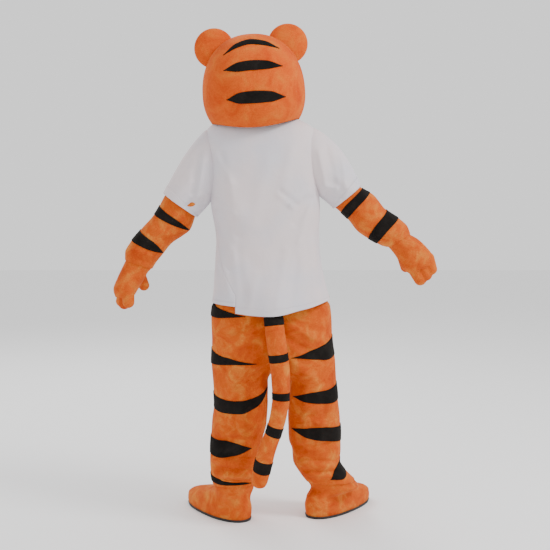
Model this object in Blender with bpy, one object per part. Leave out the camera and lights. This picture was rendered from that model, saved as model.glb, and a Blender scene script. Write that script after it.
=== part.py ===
"""Tiger mascot costume, worn and hollow: head, T-shirt, striped suit with a tail, gloves, shoe covers.

Metres, +Z up. The origin is at the shoulders, midway between the two arms, where the costume is
carried. It faces -Y, its left side is +X, and the soles are flat at FLOOR. Each cut piece is one
object. A piece is a wall between two distances from a surface, and the surface runs through a
table of sections. Angles round a body are in radians, 0 at the wearer's left and a quarter turn
at the back.
"""
import math
from types import SimpleNamespace

import bmesh
import bpy
import numpy as np
from mathutils import Matrix

NAME = "tiger_mascot_costume"

# Walls and gaps
SEAM = 0.0003
JERSEY = 0.0018
PLUSH = 0.003
FOAM = 0.009
APPLIQUE = 0.002
WELD = 0.00002
SLIDE = 0.0006
REST_DEPTH = 0.020

# Heights of the suit's seams
FLOOR = -1.470
WAIST = -0.590
WAIST_SLACK = 0.0012
TORSO_NECK = 0.062
TROUSER_HEM = -1.334

# Facets round and along each kind of piece
BODY_GRID = (12, 12)
TORSO_GRID = (9, 7)
SLEEVE_GRID = (14, 5)
ARM_GRID = (14, 10)
LEG_GRID = (14, 16)
SEAT_ROWS = 6
HEAD_GRID = (11, 9)
TAIL_GRID = (10, 13)
FOOT_GRID = (14, 7)
PALM_GRID = (14, 5)

BODY_SQUARE = 2.4
LIMB_SQUARE = 2.15


class Table:
    """Sizes in named columns, read between the rows on a smooth curve that never overshoots."""

    def __init__(self, columns, rows):
        self.columns = columns.split()
        self.values = np.array(rows, dtype=float)
        steps = np.diff(self.values, axis=0) / np.diff(self.values[:, :1], axis=0)
        before = steps[:-1]
        after = steps[1:]
        same_way = before * after > 0
        total = np.where(same_way, before + after, 1.0)
        inner = np.where(same_way, 2 * before * after / total, 0.0)
        self.slopes = np.vstack([steps[:1], inner, steps[-1:]])

    def at(self, key):
        key = np.asarray(key, dtype=float)
        keys = self.values[:, 0]
        low = np.clip(np.searchsorted(keys, key, side="right") - 1, 0, len(keys) - 2)
        width = (keys[low + 1] - keys[low])[..., None]
        t = (key - keys[low])[..., None] / width
        rise = t * t * (3 - 2 * t)
        result = self.values[low] * (1 - rise) + self.values[low + 1] * rise
        result = result + width * t * (1 - t) * ((1 - t) * self.slopes[low] - t * self.slopes[low + 1])
        return SimpleNamespace(**{name: result[..., n] for n, name in enumerate(self.columns)})


# The T-shirt's sections, hem to neck. middle is the middle in x, back and front are in y.
SHIRT = Table("z middle half back front", [
    (-0.700, -0.036, 0.225, 0.190, -0.154),
    (-0.640, -0.035, 0.224, 0.180, -0.152),
    (-0.574, -0.030, 0.213, 0.157, -0.144),
    (-0.482, -0.023, 0.201, 0.137, -0.137),
    (-0.391, -0.021, 0.195, 0.133, -0.135),
    (-0.264, -0.013, 0.205, 0.138, -0.140),
    (-0.120, -0.005, 0.206, 0.134, -0.138),
    (-0.050, -0.002, 0.210, 0.124, -0.132),
    (-0.010, 0.002, 0.210, 0.112, -0.124),
    (0.012, 0.004, 0.204, 0.104, -0.117),
    (0.028, 0.005, 0.191, 0.096, -0.110),
    (0.040, 0.005, 0.172, 0.088, -0.101),
    (0.053, 0.005, 0.146, 0.078, -0.091),
    (0.064, 0.005, 0.120, 0.069, -0.081),
    (0.078, 0.005, 0.086, 0.058, -0.068),
])

# How much narrower the suit's torso is than the T-shirt, all round.
TORSO_INSET = Table("z inset", [(WAIST, 0.014), (-0.200, 0.012), (-0.020, 0.0094), (0.078, 0.0084)])

# The T-shirt hangs twisted: its side seams run from the armpits to these angles at the hem.
ARMPIT = -0.262
SLIT_TOP = -0.596
ROW_CROWDING = 1.7
HEM_TWIST = (math.radians(58), math.radians(35))
NECK_TOP = 0.074
NECK_DIP_BACK = 0.020
NECK_DIP_FRONT = 0.080
SHIRT_HEM_BACK = Table("across z", [
    (0.0, -0.661), (0.18, -0.666), (0.36, -0.647), (0.66, -0.622), (1.0, -0.618),
])
SHIRT_HEM_FRONT = Table("across z", [(0.0, -0.602), (0.27, -0.610), (0.71, -0.628), (1.0, -0.636)])

# Sleeves and arms: the two edges seen from behind, x outwards, the middle in y and half the depth.
EDGES = "row outer_x outer_z inner_x inner_z y depth"
SHIRT_SLEEVES = {
    "left": Table(EDGES, [
        (0, 0.130, 0.038, 0.130, -0.200, 0.000, 0.058),
        (1, 0.196, 0.024, 0.190, -0.252, -0.002, 0.083),
        (2, 0.243, -0.016, 0.209, -0.273, -0.004, 0.086),
        (3, 0.290, -0.077, 0.222, -0.288, -0.006, 0.084),
        (4, 0.334, -0.148, 0.235, -0.301, -0.009, 0.082),
        (5, 0.373, -0.221, 0.246, -0.312, -0.012, 0.080),
    ]),
    "right": Table(EDGES, [
        (0, 0.120, 0.040, 0.125, -0.185, 0.000, 0.058),
        (1, 0.188, 0.026, 0.203, -0.226, -0.002, 0.083),
        (2, 0.240, -0.004, 0.228, -0.243, -0.004, 0.085),
        (3, 0.288, -0.047, 0.244, -0.256, -0.006, 0.082),
        (4, 0.334, -0.114, 0.258, -0.268, -0.009, 0.078),
        (5, 0.375, -0.193, 0.271, -0.279, -0.012, 0.074),
    ]),
}
ARMS = {
    "left": Table(EDGES, [
        (0, 0.120, 0.018, 0.120, -0.180, 0.000, 0.046),
        (1, 0.184, 0.006, 0.178, -0.234, -0.002, 0.072),
        (2, 0.234, -0.032, 0.206, -0.258, -0.004, 0.076),
        (3, 0.281, -0.092, 0.222, -0.276, -0.006, 0.075),
        (4, 0.324, -0.158, 0.237, -0.293, -0.009, 0.074),
        (5, 0.366, -0.227, 0.252, -0.308, -0.012, 0.072),
        (6, 0.402, -0.293, 0.274, -0.361, -0.014, 0.070),
        (7, 0.456, -0.355, 0.342, -0.410, -0.017, 0.064),
        (8, 0.500, -0.406, 0.377, -0.452, -0.020, 0.062),
        (9, 0.522, -0.446, 0.406, -0.488, -0.022, 0.060),
        (10, 0.523, -0.474, 0.419, -0.509, -0.023, 0.053),
    ]),
    "right": Table(EDGES, [
        (0, 0.110, 0.020, 0.115, -0.165, 0.000, 0.046),
        (1, 0.176, 0.008, 0.190, -0.208, -0.002, 0.072),
        (2, 0.232, -0.020, 0.224, -0.228, -0.004, 0.076),
        (3, 0.280, -0.062, 0.241, -0.243, -0.006, 0.074),
        (4, 0.326, -0.124, 0.257, -0.258, -0.009, 0.070),
        (5, 0.371, -0.197, 0.276, -0.275, -0.012, 0.067),
        (6, 0.423, -0.229, 0.322, -0.316, -0.015, 0.068),
        (7, 0.466, -0.281, 0.367, -0.370, -0.018, 0.066),
        (8, 0.518, -0.316, 0.417, -0.401, -0.021, 0.064),
        (9, 0.553, -0.348, 0.459, -0.423, -0.024, 0.060),
        (10, 0.564, -0.375, 0.476, -0.427, -0.026, 0.052),
    ]),
}
ARM_END = 10

# Trousers: the two edges of each leg, x towards its own side. Above the crotch the inner edge is
# past the centre plane, and the piece stops at that plane.
LEG_COLUMNS = "z outer inner back front"
LEGS = {
    "left": [
        (-1.341, 0.190, 0.028, 0.080, -0.100),
        (-1.286, 0.198, 0.020, 0.088, -0.100),
        (-1.247, 0.201, 0.013, 0.091, -0.098),
        (-1.169, 0.197, 0.001, 0.096, -0.099),
        (-1.091, 0.192, -0.018, 0.100, -0.102),
        (-1.013, 0.184, -0.022, 0.104, -0.104),
        (-0.935, 0.188, -0.022, 0.112, -0.108),
        (-0.891, 0.191, -0.044, 0.118, -0.114),
        (-0.858, 0.192, -0.075, 0.125, -0.118),
        (-0.781, 0.191, -0.160, 0.142, -0.130),
        (-0.704, 0.193, -0.235, 0.148, -0.137),
        (-0.650, 0.189, -0.260, 0.146, -0.138),
        (-0.628, 0.177, -0.247, 0.149, -0.135),
    ],
    "right": [
        (-1.341, 0.366, 0.172, 0.040, -0.148),
        (-1.294, 0.319, 0.139, 0.047, -0.141),
        (-1.255, 0.299, 0.119, 0.053, -0.135),
        (-1.208, 0.303, 0.115, 0.060, -0.131),
        (-1.169, 0.303, 0.103, 0.066, -0.128),
        (-1.091, 0.299, 0.099, 0.078, -0.122),
        (-1.013, 0.291, 0.099, 0.092, -0.116),
        (-0.935, 0.283, 0.103, 0.106, -0.112),
        (-0.891, 0.281, 0.048, 0.116, -0.115),
        (-0.858, 0.278, 0.011, 0.125, -0.118),
        (-0.781, 0.267, -0.084, 0.142, -0.130),
        (-0.704, 0.264, -0.168, 0.148, -0.137),
        (-0.650, 0.259, -0.188, 0.146, -0.138),
        (-0.628, 0.247, -0.177, 0.149, -0.135),
    ],
}
CENTRE = Table("z x", [
    (-0.900, -0.046), (-0.858, -0.043), (-0.781, -0.038), (-0.704, -0.036), (-0.650, -0.0355),
    (-0.628, -0.035), (WAIST, -0.0314),
])

# Shoe covers: sections by height over the floor. toe and heel run forwards from the heel point.
# inset is the collar's distance inside the trouser leg, more where that leans.
SOLE_THICK = 0.008
COLLAR_LOW = 0.076
COLLAR_HIGH = 0.118
COLLAR_TOP = 0.165
SOLE_LIP = 0.004
FOOT = Table("height toe heel half", [
    (0.000, 0.372, -0.006, 0.074),
    (0.024, 0.380, -0.012, 0.080),
    (0.045, 0.376, -0.014, 0.080),
    (0.062, 0.352, -0.012, 0.075),
    (0.076, 0.302, -0.008, 0.069),
    (0.095, 0.245, -0.004, 0.066),
    (0.120, 0.205, 0.000, 0.070),
    (0.165, 0.185, 0.002, 0.074),
])
FOOT_SQUARE = 2.3
FOOT_PLACES = {
    "left": SimpleNamespace(heel_x=0.073, heel_y=0.064, turn=math.radians(32.3), inset=0.0037),
    "right": SimpleNamespace(heel_x=0.196, heel_y=0.017, turn=math.radians(34.0), inset=0.0051),
}

# The tail's centre line from the seat to the tip.
TAIL = Table("row x y z radius", [
    (0, -0.038, 0.110, -0.628, 0.032),
    (1, -0.041, 0.168, -0.650, 0.034),
    (2, -0.045, 0.188, -0.690, 0.035),
    (3, -0.050, 0.191, -0.735, 0.036),
    (4, -0.059, 0.191, -0.800, 0.036),
    (5, -0.069, 0.188, -0.884, 0.035),
    (6, -0.071, 0.188, -0.960, 0.032),
    (7, -0.064, 0.186, -1.022, 0.031),
    (8, -0.047, 0.180, -1.091, 0.030),
    (9, -0.022, 0.170, -1.160, 0.032),
    (10, -0.005, 0.160, -1.225, 0.033),
    (11, 0.008, 0.150, -1.285, 0.031),
    (12, 0.014, 0.145, -1.318, 0.021),
])
TAIL_TIP = 12
BAND_REACH = 0.008
TAIL_BANDS = ((1.60, 2.26), (4.07, 4.40), (5.84, 6.23), (7.77, 8.26), (9.74, 10.43))

# Head: one rounded dome, leaning towards its left, with a saddle-shaped rim on the shoulders.
HEAD_CENTRE = (0.030, -0.010, 0.150)
HEAD_HALF = 0.193
HEAD_DEPTH = 0.198
HEAD_UP = 0.222
HEAD_DOWN = 0.179
HEAD_SQUARE = 2.2
HEAD_LEAN = math.radians(3.6)
RIM_SIDE = 0.047
RIM_BACK = 0.020
RIM_FRONT = 0.000

EAR_RADIUS = 0.075
EAR_THICK = 0.030
EARS = {"left": (0.138, 0.000, 0.178), "right": (-0.138, 0.000, 0.178)}

MUZZLE = SimpleNamespace(y=-0.150, z=-0.055, half=0.098, deep=0.100, high=0.066)
NOSE = SimpleNamespace(y=-0.244, z=-0.022, half=0.030, deep=0.020, high=0.020)
MOUTH = SimpleNamespace(half=0.052, z=-0.072, rise=0.020, wide=0.005)
EYE = SimpleNamespace(x=0.066, z=0.046, half=0.032, high=0.042)
PUPIL = SimpleNamespace(x=0.060, z=0.042, half=0.016, high=0.023)

# Stripes on the head as seen along Y: x, height of the middle and half the width, from the centre.
BACK_STRIPES = {
    "head_stripe_top": ((-0.104, 0.150, 0.0), (-0.050, 0.172, 0.009), (0.000, 0.180, 0.010),
                        (0.050, 0.168, 0.009), (0.100, 0.137, 0.0)),
    "head_stripe_middle": ((-0.112, 0.083, 0.0), (-0.050, 0.089, 0.016), (0.000, 0.090, 0.018),
                           (0.045, 0.087, 0.017), (0.102, 0.079, 0.0)),
    "head_stripe_low": ((-0.116, -0.028, 0.0), (-0.060, -0.025, 0.019), (0.000, -0.024, 0.022),
                        (0.045, -0.025, 0.020), (0.098, -0.027, 0.0)),
}
FACE_STRIPES = {
    "brow_stripe_top": ((-0.050, 0.160, 0.0), (0.000, 0.168, 0.009), (0.050, 0.160, 0.0)),
    "brow_stripe_middle": ((-0.040, 0.132, 0.0), (0.000, 0.137, 0.008), (0.040, 0.132, 0.0)),
    "brow_stripe_low": ((-0.026, 0.107, 0.0), (0.000, 0.110, 0.007), (0.026, 0.107, 0.0)),
    "cheek_stripe_left_upper": ((0.122, 0.000, 0.0), (0.152, 0.008, 0.008), (0.188, 0.020, 0.004)),
    "cheek_stripe_left_lower": ((0.124, -0.040, 0.0), (0.152, -0.036, 0.008), (0.184, -0.028, 0.004)),
    "cheek_stripe_right_upper": ((-0.188, 0.020, 0.004), (-0.152, 0.008, 0.008), (-0.122, 0.000, 0.0)),
    "cheek_stripe_right_lower": ((-0.184, -0.028, 0.004), (-0.152, -0.036, 0.008),
                                 (-0.124, -0.040, 0.0)),
}

# Stripes on the limbs: degrees from the outer side (more is further back), place along, half width.
LEG_STRIPES = {
    "left": (
        ((-62, -0.650, 0.0), (0, -0.657, 0.026), (35, -0.668, 0.017), (70, -0.676, 0.0)),
        ((-70, -0.842, 0.0), (0, -0.835, 0.028), (50, -0.846, 0.016), (102, -0.853, 0.0)),
        ((-62, -1.000, 0.0), (0, -1.004, 0.027), (80, -1.022, 0.025), (125, -1.000, 0.020),
         (165, -0.955, 0.002)),
        ((-75, -1.165, 0.0), (0, -1.176, 0.031), (67, -1.186, 0.033), (125, -1.182, 0.0)),
        ((-60, -1.296, 0.0), (0, -1.303, 0.013), (70, -1.316, 0.009), (140, -1.322, 0.0)),
    ),
    "right": (
        ((-70, -0.790, 0.0), (0, -0.794, 0.036), (45, -0.815, 0.027), (94, -0.830, 0.0)),
        ((-75, -0.966, 0.0), (0, -0.970, 0.031), (70, -0.986, 0.026), (141, -0.985, 0.0)),
        ((-72, -1.130, 0.0), (0, -1.139, 0.030), (75, -1.132, 0.027), (146, -1.114, 0.0)),
        ((-50, -1.246, 0.0), (0, -1.270, 0.027), (45, -1.292, 0.022), (82, -1.312, 0.0)),
    ),
}
ARM_STRIPES = {
    "left": (
        ((-70, 5.80, 0.0), (0, 5.86, 0.25), (85, 5.96, 0.20), (168, 6.00, 0.0)),
        ((-75, 7.30, 0.0), (0, 7.46, 0.36), (85, 7.66, 0.34), (166, 7.90, 0.0)),
    ),
    "right": (
        ((-80, 5.45, 0.0), (0, 5.42, 0.27), (85, 5.55, 0.29), (178, 5.80, 0.26), (230, 5.86, 0.0)),
        ((-70, 7.40, 0.0), (0, 7.52, 0.42), (85, 7.70, 0.42), (178, 8.05, 0.33), (235, 8.10, 0.0)),
    ),
}

# Large folds as seen from behind: a soft ridge (or, with a negative height, a trough) along a line.
FOLD_COLUMNS = "x0 z0 x1 z1 width height".split()
SHIRT_FOLDS = [
    (0.172, -0.020, 0.086, -0.300, 0.040, 0.007),
    (0.086, -0.300, 0.070, -0.560, 0.045, 0.008),
    (0.120, -0.330, 0.020, -0.520, 0.035, -0.006),
    (-0.150, -0.240, -0.090, -0.420, 0.040, -0.006),
    (-0.120, -0.420, -0.190, -0.600, 0.045, 0.006),
    (-0.042, -0.600, -0.046, -0.700, 0.085, 0.044),
]
LEG_FOLDS = [
    (0.080, -0.700, 0.160, -0.900, 0.040, -0.006),
    (0.060, -0.800, 0.140, -1.060, 0.036, 0.006),
    (0.030, -1.060, 0.180, -1.120, 0.028, -0.006),
    (0.010, -1.250, 0.200, -1.225, 0.022, 0.007),
    (0.010, -1.205, 0.200, -1.180, 0.022, -0.005),
    (-0.140, -0.720, -0.250, -0.920, 0.040, -0.006),
    (-0.120, -0.900, -0.230, -1.060, 0.036, 0.006),
    (-0.110, -1.070, -0.290, -1.060, 0.028, -0.006),
    (-0.120, -1.210, -0.300, -1.225, 0.024, -0.006),
    (-0.130, -1.250, -0.310, -1.262, 0.024, 0.007),
]

# Gloves: sections as for the arms, below the cuff that the arm's end closes on, then fingers as
# base, tip and radius, thumb last.
CUFF_SLACK = 0.010
PALM_END = 5
PALMS = {
    "left": [
        (2, 0.534, -0.505, 0.437, -0.524, -0.025, 0.050),
        (3, 0.553, -0.545, 0.452, -0.552, -0.027, 0.058),
        (4, 0.569, -0.588, 0.472, -0.584, -0.029, 0.064),
        (5, 0.562, -0.618, 0.490, -0.614, -0.030, 0.050),
    ],
    "right": [
        (2, 0.590, -0.394, 0.498, -0.446, -0.028, 0.045),
        (3, 0.624, -0.424, 0.514, -0.468, -0.030, 0.040),
        (4, 0.654, -0.466, 0.532, -0.504, -0.032, 0.038),
        (5, 0.650, -0.492, 0.560, -0.528, -0.034, 0.030),
    ],
}
FINGERS = {
    "left": (
        (0.536, -0.082, -0.590, 0.548, -0.100, -0.642, 0.0225),
        (0.524, -0.036, -0.600, 0.530, -0.046, -0.644, 0.0245),
        (0.508, 0.010, -0.590, 0.508, 0.008, -0.634, 0.0235),
        (0.470, -0.080, -0.545, 0.462, -0.116, -0.582, 0.0215),
    ),
    "right": (
        (0.636, -0.034, -0.470, 0.648, -0.038, -0.512, 0.0225),
        (0.612, -0.036, -0.492, 0.628, -0.042, -0.534, 0.0240),
        (0.574, -0.036, -0.500, 0.606, -0.044, -0.552, 0.0245),
        (0.540, -0.054, -0.468, 0.556, -0.096, -0.508, 0.0215),
    ),
}

COLOURS = {
    "head": (0.66, 0.070, 0.004),
    "plush": (0.55, 0.062, 0.006),
    "black": (0.006, 0.005, 0.005),
    "jersey": (0.62, 0.58, 0.59),
    "cream": (0.80, 0.66, 0.45),
    "white": (0.82, 0.80, 0.76),
    "sole": (0.010, 0.009, 0.009),
    "gloss": (0.008, 0.008, 0.008),
}
ROUGHNESS = {"gloss": 0.2, "sole": 0.6}


def clear_scene():
    for item in list(bpy.data.objects):
        bpy.data.objects.remove(item)


def collection(name):
    made = bpy.data.collections.new(name)
    bpy.context.scene.collection.children.link(made)
    return made


def material(name, finish):
    made = bpy.data.materials.new(name)
    made.use_nodes = True
    shader = made.node_tree.nodes["Principled BSDF"]
    shader.inputs["Base Color"].default_value = (*COLOURS[finish], 1.0)
    shader.inputs["Roughness"].default_value = ROUGHNESS.get(finish, 0.9)
    shader.inputs["Metallic"].default_value = 0.0
    made.diffuse_color = (*COLOURS[finish], 1.0)
    return made


def add_object(name, mesh, finish, home):
    data = bpy.data.meshes.new(name)
    mesh.to_mesh(data)
    mesh.free()
    data.shade_smooth()
    data.materials.append(material(name, finish))
    made = bpy.data.objects.new(name, data)
    home.objects.link(made)
    return made


def add_piece(name, mesh, finish):
    return add_object(name, mesh, finish, bpy.data.collections[NAME])


def add_cutter(name, mesh):
    made = add_object(name, mesh, "black", bpy.data.collections["cutters"])
    made.hide_render = True
    made.display_type = "WIRE"
    return made


def combine(piece, operation, *cutters):
    for cutter in cutters:
        boolean = piece.modifiers.new(cutter.name, "BOOLEAN")
        boolean.operation = operation
        boolean.object = cutter
    return piece


def superellipse(angle, power):
    """Unit ring of the given squareness: power 2 is a circle."""
    across = np.cos(angle)
    deep = np.sin(angle)
    return (np.sign(across) * np.abs(across) ** (2 / power),
            np.sign(deep) * np.abs(deep) ** (2 / power))


def smooth_step(x):
    t = np.clip(x, 0.0, 1.0)
    return t * t * (3 - 2 * t)


def stack(x, y, z):
    return np.stack(np.broadcast_arrays(x, y, z), axis=-1)


def raw_normal(surface, u, v):
    step = 0.0015
    return np.cross(surface(u + step, v) - surface(u - step, v),
                    surface(u, v + step) - surface(u, v - step))


def outward(surface, u, v):
    """Unit normals of a surface, turned away from its own middle."""
    margin = 0.003
    v = np.clip(v, margin, 1 - margin)
    normal = raw_normal(surface, u, v)
    length = np.linalg.norm(normal, axis=-1, keepdims=True)
    nearby = raw_normal(surface, np.clip(u, margin, 1 - margin), v)
    normal = np.where(length > 1e-12, normal, nearby)
    normal /= np.linalg.norm(normal, axis=-1, keepdims=True)
    ring = surface(np.linspace(0, 1, 9), np.full(9, 0.5))
    probe = np.dot(raw_normal(surface, 0.5, 0.5), surface(0.5, 0.5) - ring.mean(axis=0))
    return -normal if probe < 0 else normal


def fold_height(folds, points, face):
    """Height of the folds over points; face is +1 for folds at the back, -1 at the front."""
    height = np.zeros(points.shape[:-1])
    for row in folds:
        fold = SimpleNamespace(**dict(zip(FOLD_COLUMNS, row)))
        line = np.array((fold.x1 - fold.x0, fold.z1 - fold.z0))
        away = points[..., (0, 2)] - np.array((fold.x0, fold.z0))
        along = np.clip(away @ line / (line @ line), 0.0, 1.0)
        distance = np.linalg.norm(away - along[..., None] * line, axis=-1)
        height += fold.height * np.exp(-(distance / fold.width) ** 2)
    return height * smooth_step(face * points[..., 1] / 0.06)


def folded(surface, folds, face=1):
    def with_folds(u, v):
        points = surface(u, v)
        height = fold_height(folds, points, face)
        return points + height[..., None] * stack(0.0 * height, face + 0.0 * height, 0.0 * height)
    return with_folds


def grid_mesh(surface, columns, rows, distance):
    """A surface's facets, every quad split the same way, each vertex keeping its place u and v."""
    mesh = bmesh.new()
    bmesh.ops.create_grid(mesh, x_segments=columns, y_segments=rows, size=0.5)
    across = mesh.verts.layers.float.new("across")
    up = mesh.verts.layers.float.new("up")
    for vert in mesh.verts:
        vert[across] = vert.co.x + 0.5
        vert[up] = vert.co.y + 0.5
    bmesh.ops.triangulate(mesh, faces=mesh.faces, quad_method="FIXED")
    move_to(mesh, mesh.verts, surface, distance)
    bmesh.ops.remove_doubles(mesh, verts=mesh.verts, dist=WELD)
    return mesh


def move_to(mesh, verts, surface, distance):
    verts = list(verts)
    across = mesh.verts.layers.float["across"]
    up = mesh.verts.layers.float["up"]
    u = np.array([vert[across] for vert in verts])
    v = np.array([vert[up] for vert in verts])
    points = surface(u, v) + distance * outward(surface, u, v)
    for vert, point in zip(verts, points):
        vert.co = point


def wall_mesh(surface, grid, outer, inner):
    """Closed wall between two distances from a surface, positive outwards."""
    mesh = grid_mesh(surface, *grid, outer)
    wall = bmesh.ops.extrude_face_region(mesh, geom=mesh.faces[:], use_keep_orig=True)
    back = [item for item in wall["geom"] if isinstance(item, bmesh.types.BMVert)]
    move_to(mesh, back, surface, inner)
    bmesh.ops.recalc_face_normals(mesh, faces=mesh.faces)
    return mesh


def filled_mesh(surface, grid, distance):
    """Closed solid inside a tube, capped flat at its open ends."""
    mesh = grid_mesh(surface, *grid, distance)
    bmesh.ops.holes_fill(mesh, edges=[edge for edge in mesh.edges if edge.is_boundary], sides=0)
    bmesh.ops.recalc_face_normals(mesh, faces=mesh.faces)
    return mesh


def transformed(surface, matrix):
    turn = np.array(matrix.to_3x3())
    shift = np.array(matrix.translation)

    def moved(u, v):
        return surface(u, v) @ turn.T + shift
    return moved


def mirrored(surface, side):
    """A surface measured towards its own side, put on the wearer's left or right."""
    flip = np.array((1.0 if side == "left" else -1.0, 1.0, 1.0))

    def on_side(u, v):
        return surface(u, v) * flip
    return on_side


def body_ring(angle, z, inset=0.0):
    row = SHIRT.at(z)
    across, deep = superellipse(angle, BODY_SQUARE)
    y = (row.back + row.front) / 2 + ((row.back - row.front) / 2 - inset) * deep
    return stack(row.middle + (row.half - inset) * across, y, z)


def neck_height(angle):
    dip = np.where(np.sin(angle) > 0, NECK_DIP_BACK, NECK_DIP_FRONT)
    return NECK_TOP - dip * np.sin(angle) ** 2


def shirt_surface(seam_angles, hem):
    """One T-shirt panel between two seams, its rows closing up towards the shoulders.

    The lowest row is the panel's own hem below the side slits; above it both panels share rows.
    """
    lowest = 1 / BODY_GRID[1]

    def shirt(u, v):
        below = (1 - np.maximum(v, lowest)) / (1 - lowest)
        guess = NECK_TOP + (SLIT_TOP - NECK_TOP) * below ** ROW_CROWDING
        twist = np.clip((ARMPIT - guess) / (ARMPIT - SLIT_TOP), 0.0, 1.0) ** 1.3
        first, last = seam_angles(twist)
        angle = first + (last - first) * u
        top = neck_height(angle)
        z = top + (SLIT_TOP - top) * below ** ROW_CROWDING
        z = z + (hem.at(u).z - SLIT_TOP) * np.clip(1 - v / lowest, 0.0, 1.0)
        return body_ring(angle, z)
    return folded(shirt, SHIRT_FOLDS)


def seam_slip():
    """A seam's gap as an angle on a ring of the shirt's size, for each panel's edge."""
    return SEAM / SHIRT.at(WAIST).half


def back_seams(twist):
    return HEM_TWIST[0] * twist + seam_slip(), math.pi + HEM_TWIST[1] * twist - seam_slip()


def front_seams(twist):
    return (math.pi + HEM_TWIST[1] * twist + seam_slip(),
            2 * math.pi + HEM_TWIST[0] * twist - seam_slip())


def torso_surface(first, last):
    """One torso panel of the suit from the waist to the neck, inside the T-shirt."""
    def torso(u, v):
        angle = first + (last - first) * u
        top = neck_height(angle) - (NECK_TOP - TORSO_NECK)
        z = top + (WAIST + WAIST_SLACK - top) * (1 - v) ** ROW_CROWDING
        return body_ring(angle, z, TORSO_INSET.at(z).inset)
    return torso


def limb_surface(table, first, last, square=LIMB_SQUARE):
    """A sleeve-like tube through edge points; it starts at its outer edge and turns backwards."""
    def limb(u, v):
        row = table.at(first + (last - first) * v)
        across, deep = superellipse(2 * math.pi * u, square)
        x = (row.outer_x + row.inner_x) / 2 + (row.outer_x - row.inner_x) / 2 * across
        z = (row.outer_z + row.inner_z) / 2 + (row.outer_z - row.inner_z) / 2 * across
        return stack(x, row.y + row.depth * deep, z)
    return limb


def leg_table(side):
    """The leg's sections with the torso's own ring as the last one, at the waist."""
    row = SHIRT.at(WAIST)
    inset = float(TORSO_INSET.at(WAIST).inset)
    middle = float(row.middle) * (1 if side == "left" else -1)
    half = float(row.half) - inset
    waist = (WAIST, middle + half, middle - half, float(row.back) - inset, float(row.front) + inset)
    return Table(LEG_COLUMNS, LEGS[side] + [waist])


def leg_ring(side, table, u, z, inset=0.0):
    """Ring of a leg from the front centre round the outside to the back centre."""
    row = table.at(z)
    plane = CENTRE.at(np.clip(z, -0.900, WAIST)).x * (1 if side == "left" else -1) + SEAM / 2
    middle = np.maximum((row.outer + row.inner) / 2, plane)
    half = row.outer - middle
    reach = np.clip((middle - plane) / half, 0.0, 1.0)
    turn = math.pi - np.arccos(reach ** (BODY_SQUARE / 2))
    across, deep = superellipse((2 * u - 1) * turn, BODY_SQUARE)
    y = (row.back + row.front) / 2 + ((row.back - row.front) / 2 - inset) * deep
    return stack(middle + (half - inset) * across, y, z)


def collar_ring(side, table, u, z):
    """Inside of the trouser leg's lowest row of facets, where the shoe cover's collar sits."""
    facet = (WAIST - TROUSER_HEM) / LEG_GRID[1]
    inset = FOOT_PLACES[side].inset
    low = leg_ring(side, table, u, TROUSER_HEM, inset)
    high = leg_ring(side, table, u, TROUSER_HEM + facet, inset)
    return low + (high - low) * ((z - TROUSER_HEM) / facet)[..., None]


def leg_sections(side):
    table = leg_table(side)

    def leg(u, v):
        z = TROUSER_HEM + (WAIST - SEAM / 2 - TROUSER_HEM) * v
        return leg_ring(side, table, u, z)
    return leg


def leg_surface(side):
    return folded(mirrored(leg_sections(side), side), LEG_FOLDS)


def seat_surface(u, v):
    """The whole seat as one ring, on the trousers' own rows of facets, for trimming the tail."""
    low = 1 - SEAT_ROWS / LEG_GRID[1]
    height = low + (1 - low) * np.asarray(v)
    left = mirrored(leg_sections("left"), "left")(np.clip(2 * u, 0, 1), height)
    right = mirrored(leg_sections("right"), "right")(np.clip(2 - 2 * u, 0, 1), height)
    return np.where((np.asarray(u) < 0.5)[..., None], left, right)


def tail_surface(first, last):
    def tail(u, v):
        at = first + (last - first) * v
        row = TAIL.at(at)
        ahead = TAIL.at(at + 0.01)
        path = stack(ahead.x - row.x, ahead.y - row.y, ahead.z - row.z)
        path /= np.linalg.norm(path, axis=-1, keepdims=True)
        side = np.cross(path, np.array((1.0, 0.0, 0.0)))
        side /= np.linalg.norm(side, axis=-1, keepdims=True)
        across = np.cross(side, path)
        angle = 2 * math.pi * np.asarray(u)[..., None]
        ring = across * np.cos(angle) + side * np.sin(angle)
        return stack(row.x, row.y, row.z) + row.radius[..., None] * ring
    return tail


def rounded_tip(surface, share):
    """Closes a tube's far end: the last share of it shrinks to a point as a half ball does."""
    def rounded(u, v):
        over = np.clip((v - (1 - share)) / share, 0.0, 1.0)
        middle = (surface(0.0 * u, v) + surface(0.0 * u + 0.5, v)) / 2
        shrink = np.sqrt(np.maximum(1 - over ** 2, 0.0))
        return middle + (surface(u, v) - middle) * shrink[..., None]
    return rounded


def foot_surface(side, low, high, lip=0.0):
    """A shoe cover from height low to high; its collar becomes the inside of the trouser leg."""
    place = FOOT_PLACES[side]
    table = leg_table(side)
    forward = np.array((math.sin(place.turn), -math.cos(place.turn)))
    sideways = np.array((math.cos(place.turn), math.sin(place.turn)))
    start = math.atan2(forward[1], forward[0])

    def foot(u, v):
        height = low + (high - low) * np.asarray(v) + 0.0 * np.asarray(u)
        row = FOOT.at(height)
        angle = (2 * np.asarray(u) - 1) * math.pi
        along, across = superellipse(angle - start, FOOT_SQUARE)
        reach = (row.toe + row.heel) / 2 + ((row.toe - row.heel) / 2 + lip) * along
        spread = (row.half + lip) * across
        x = place.heel_x + reach * forward[0] + spread * sideways[0]
        y = place.heel_y + reach * forward[1] + spread * sideways[1]
        shoe = stack(x, y, FLOOR + height)
        collar = collar_ring(side, table, u, FLOOR + height)
        share = smooth_step((height - COLLAR_LOW) / (COLLAR_HIGH - COLLAR_LOW))[..., None]
        return shoe * (1 - share) + collar * share
    return mirrored(foot, side)


def head_matrix():
    turn = Matrix.Rotation(HEAD_LEAN, 4, "Y")
    return Matrix.Translation(HEAD_CENTRE) @ turn


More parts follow.
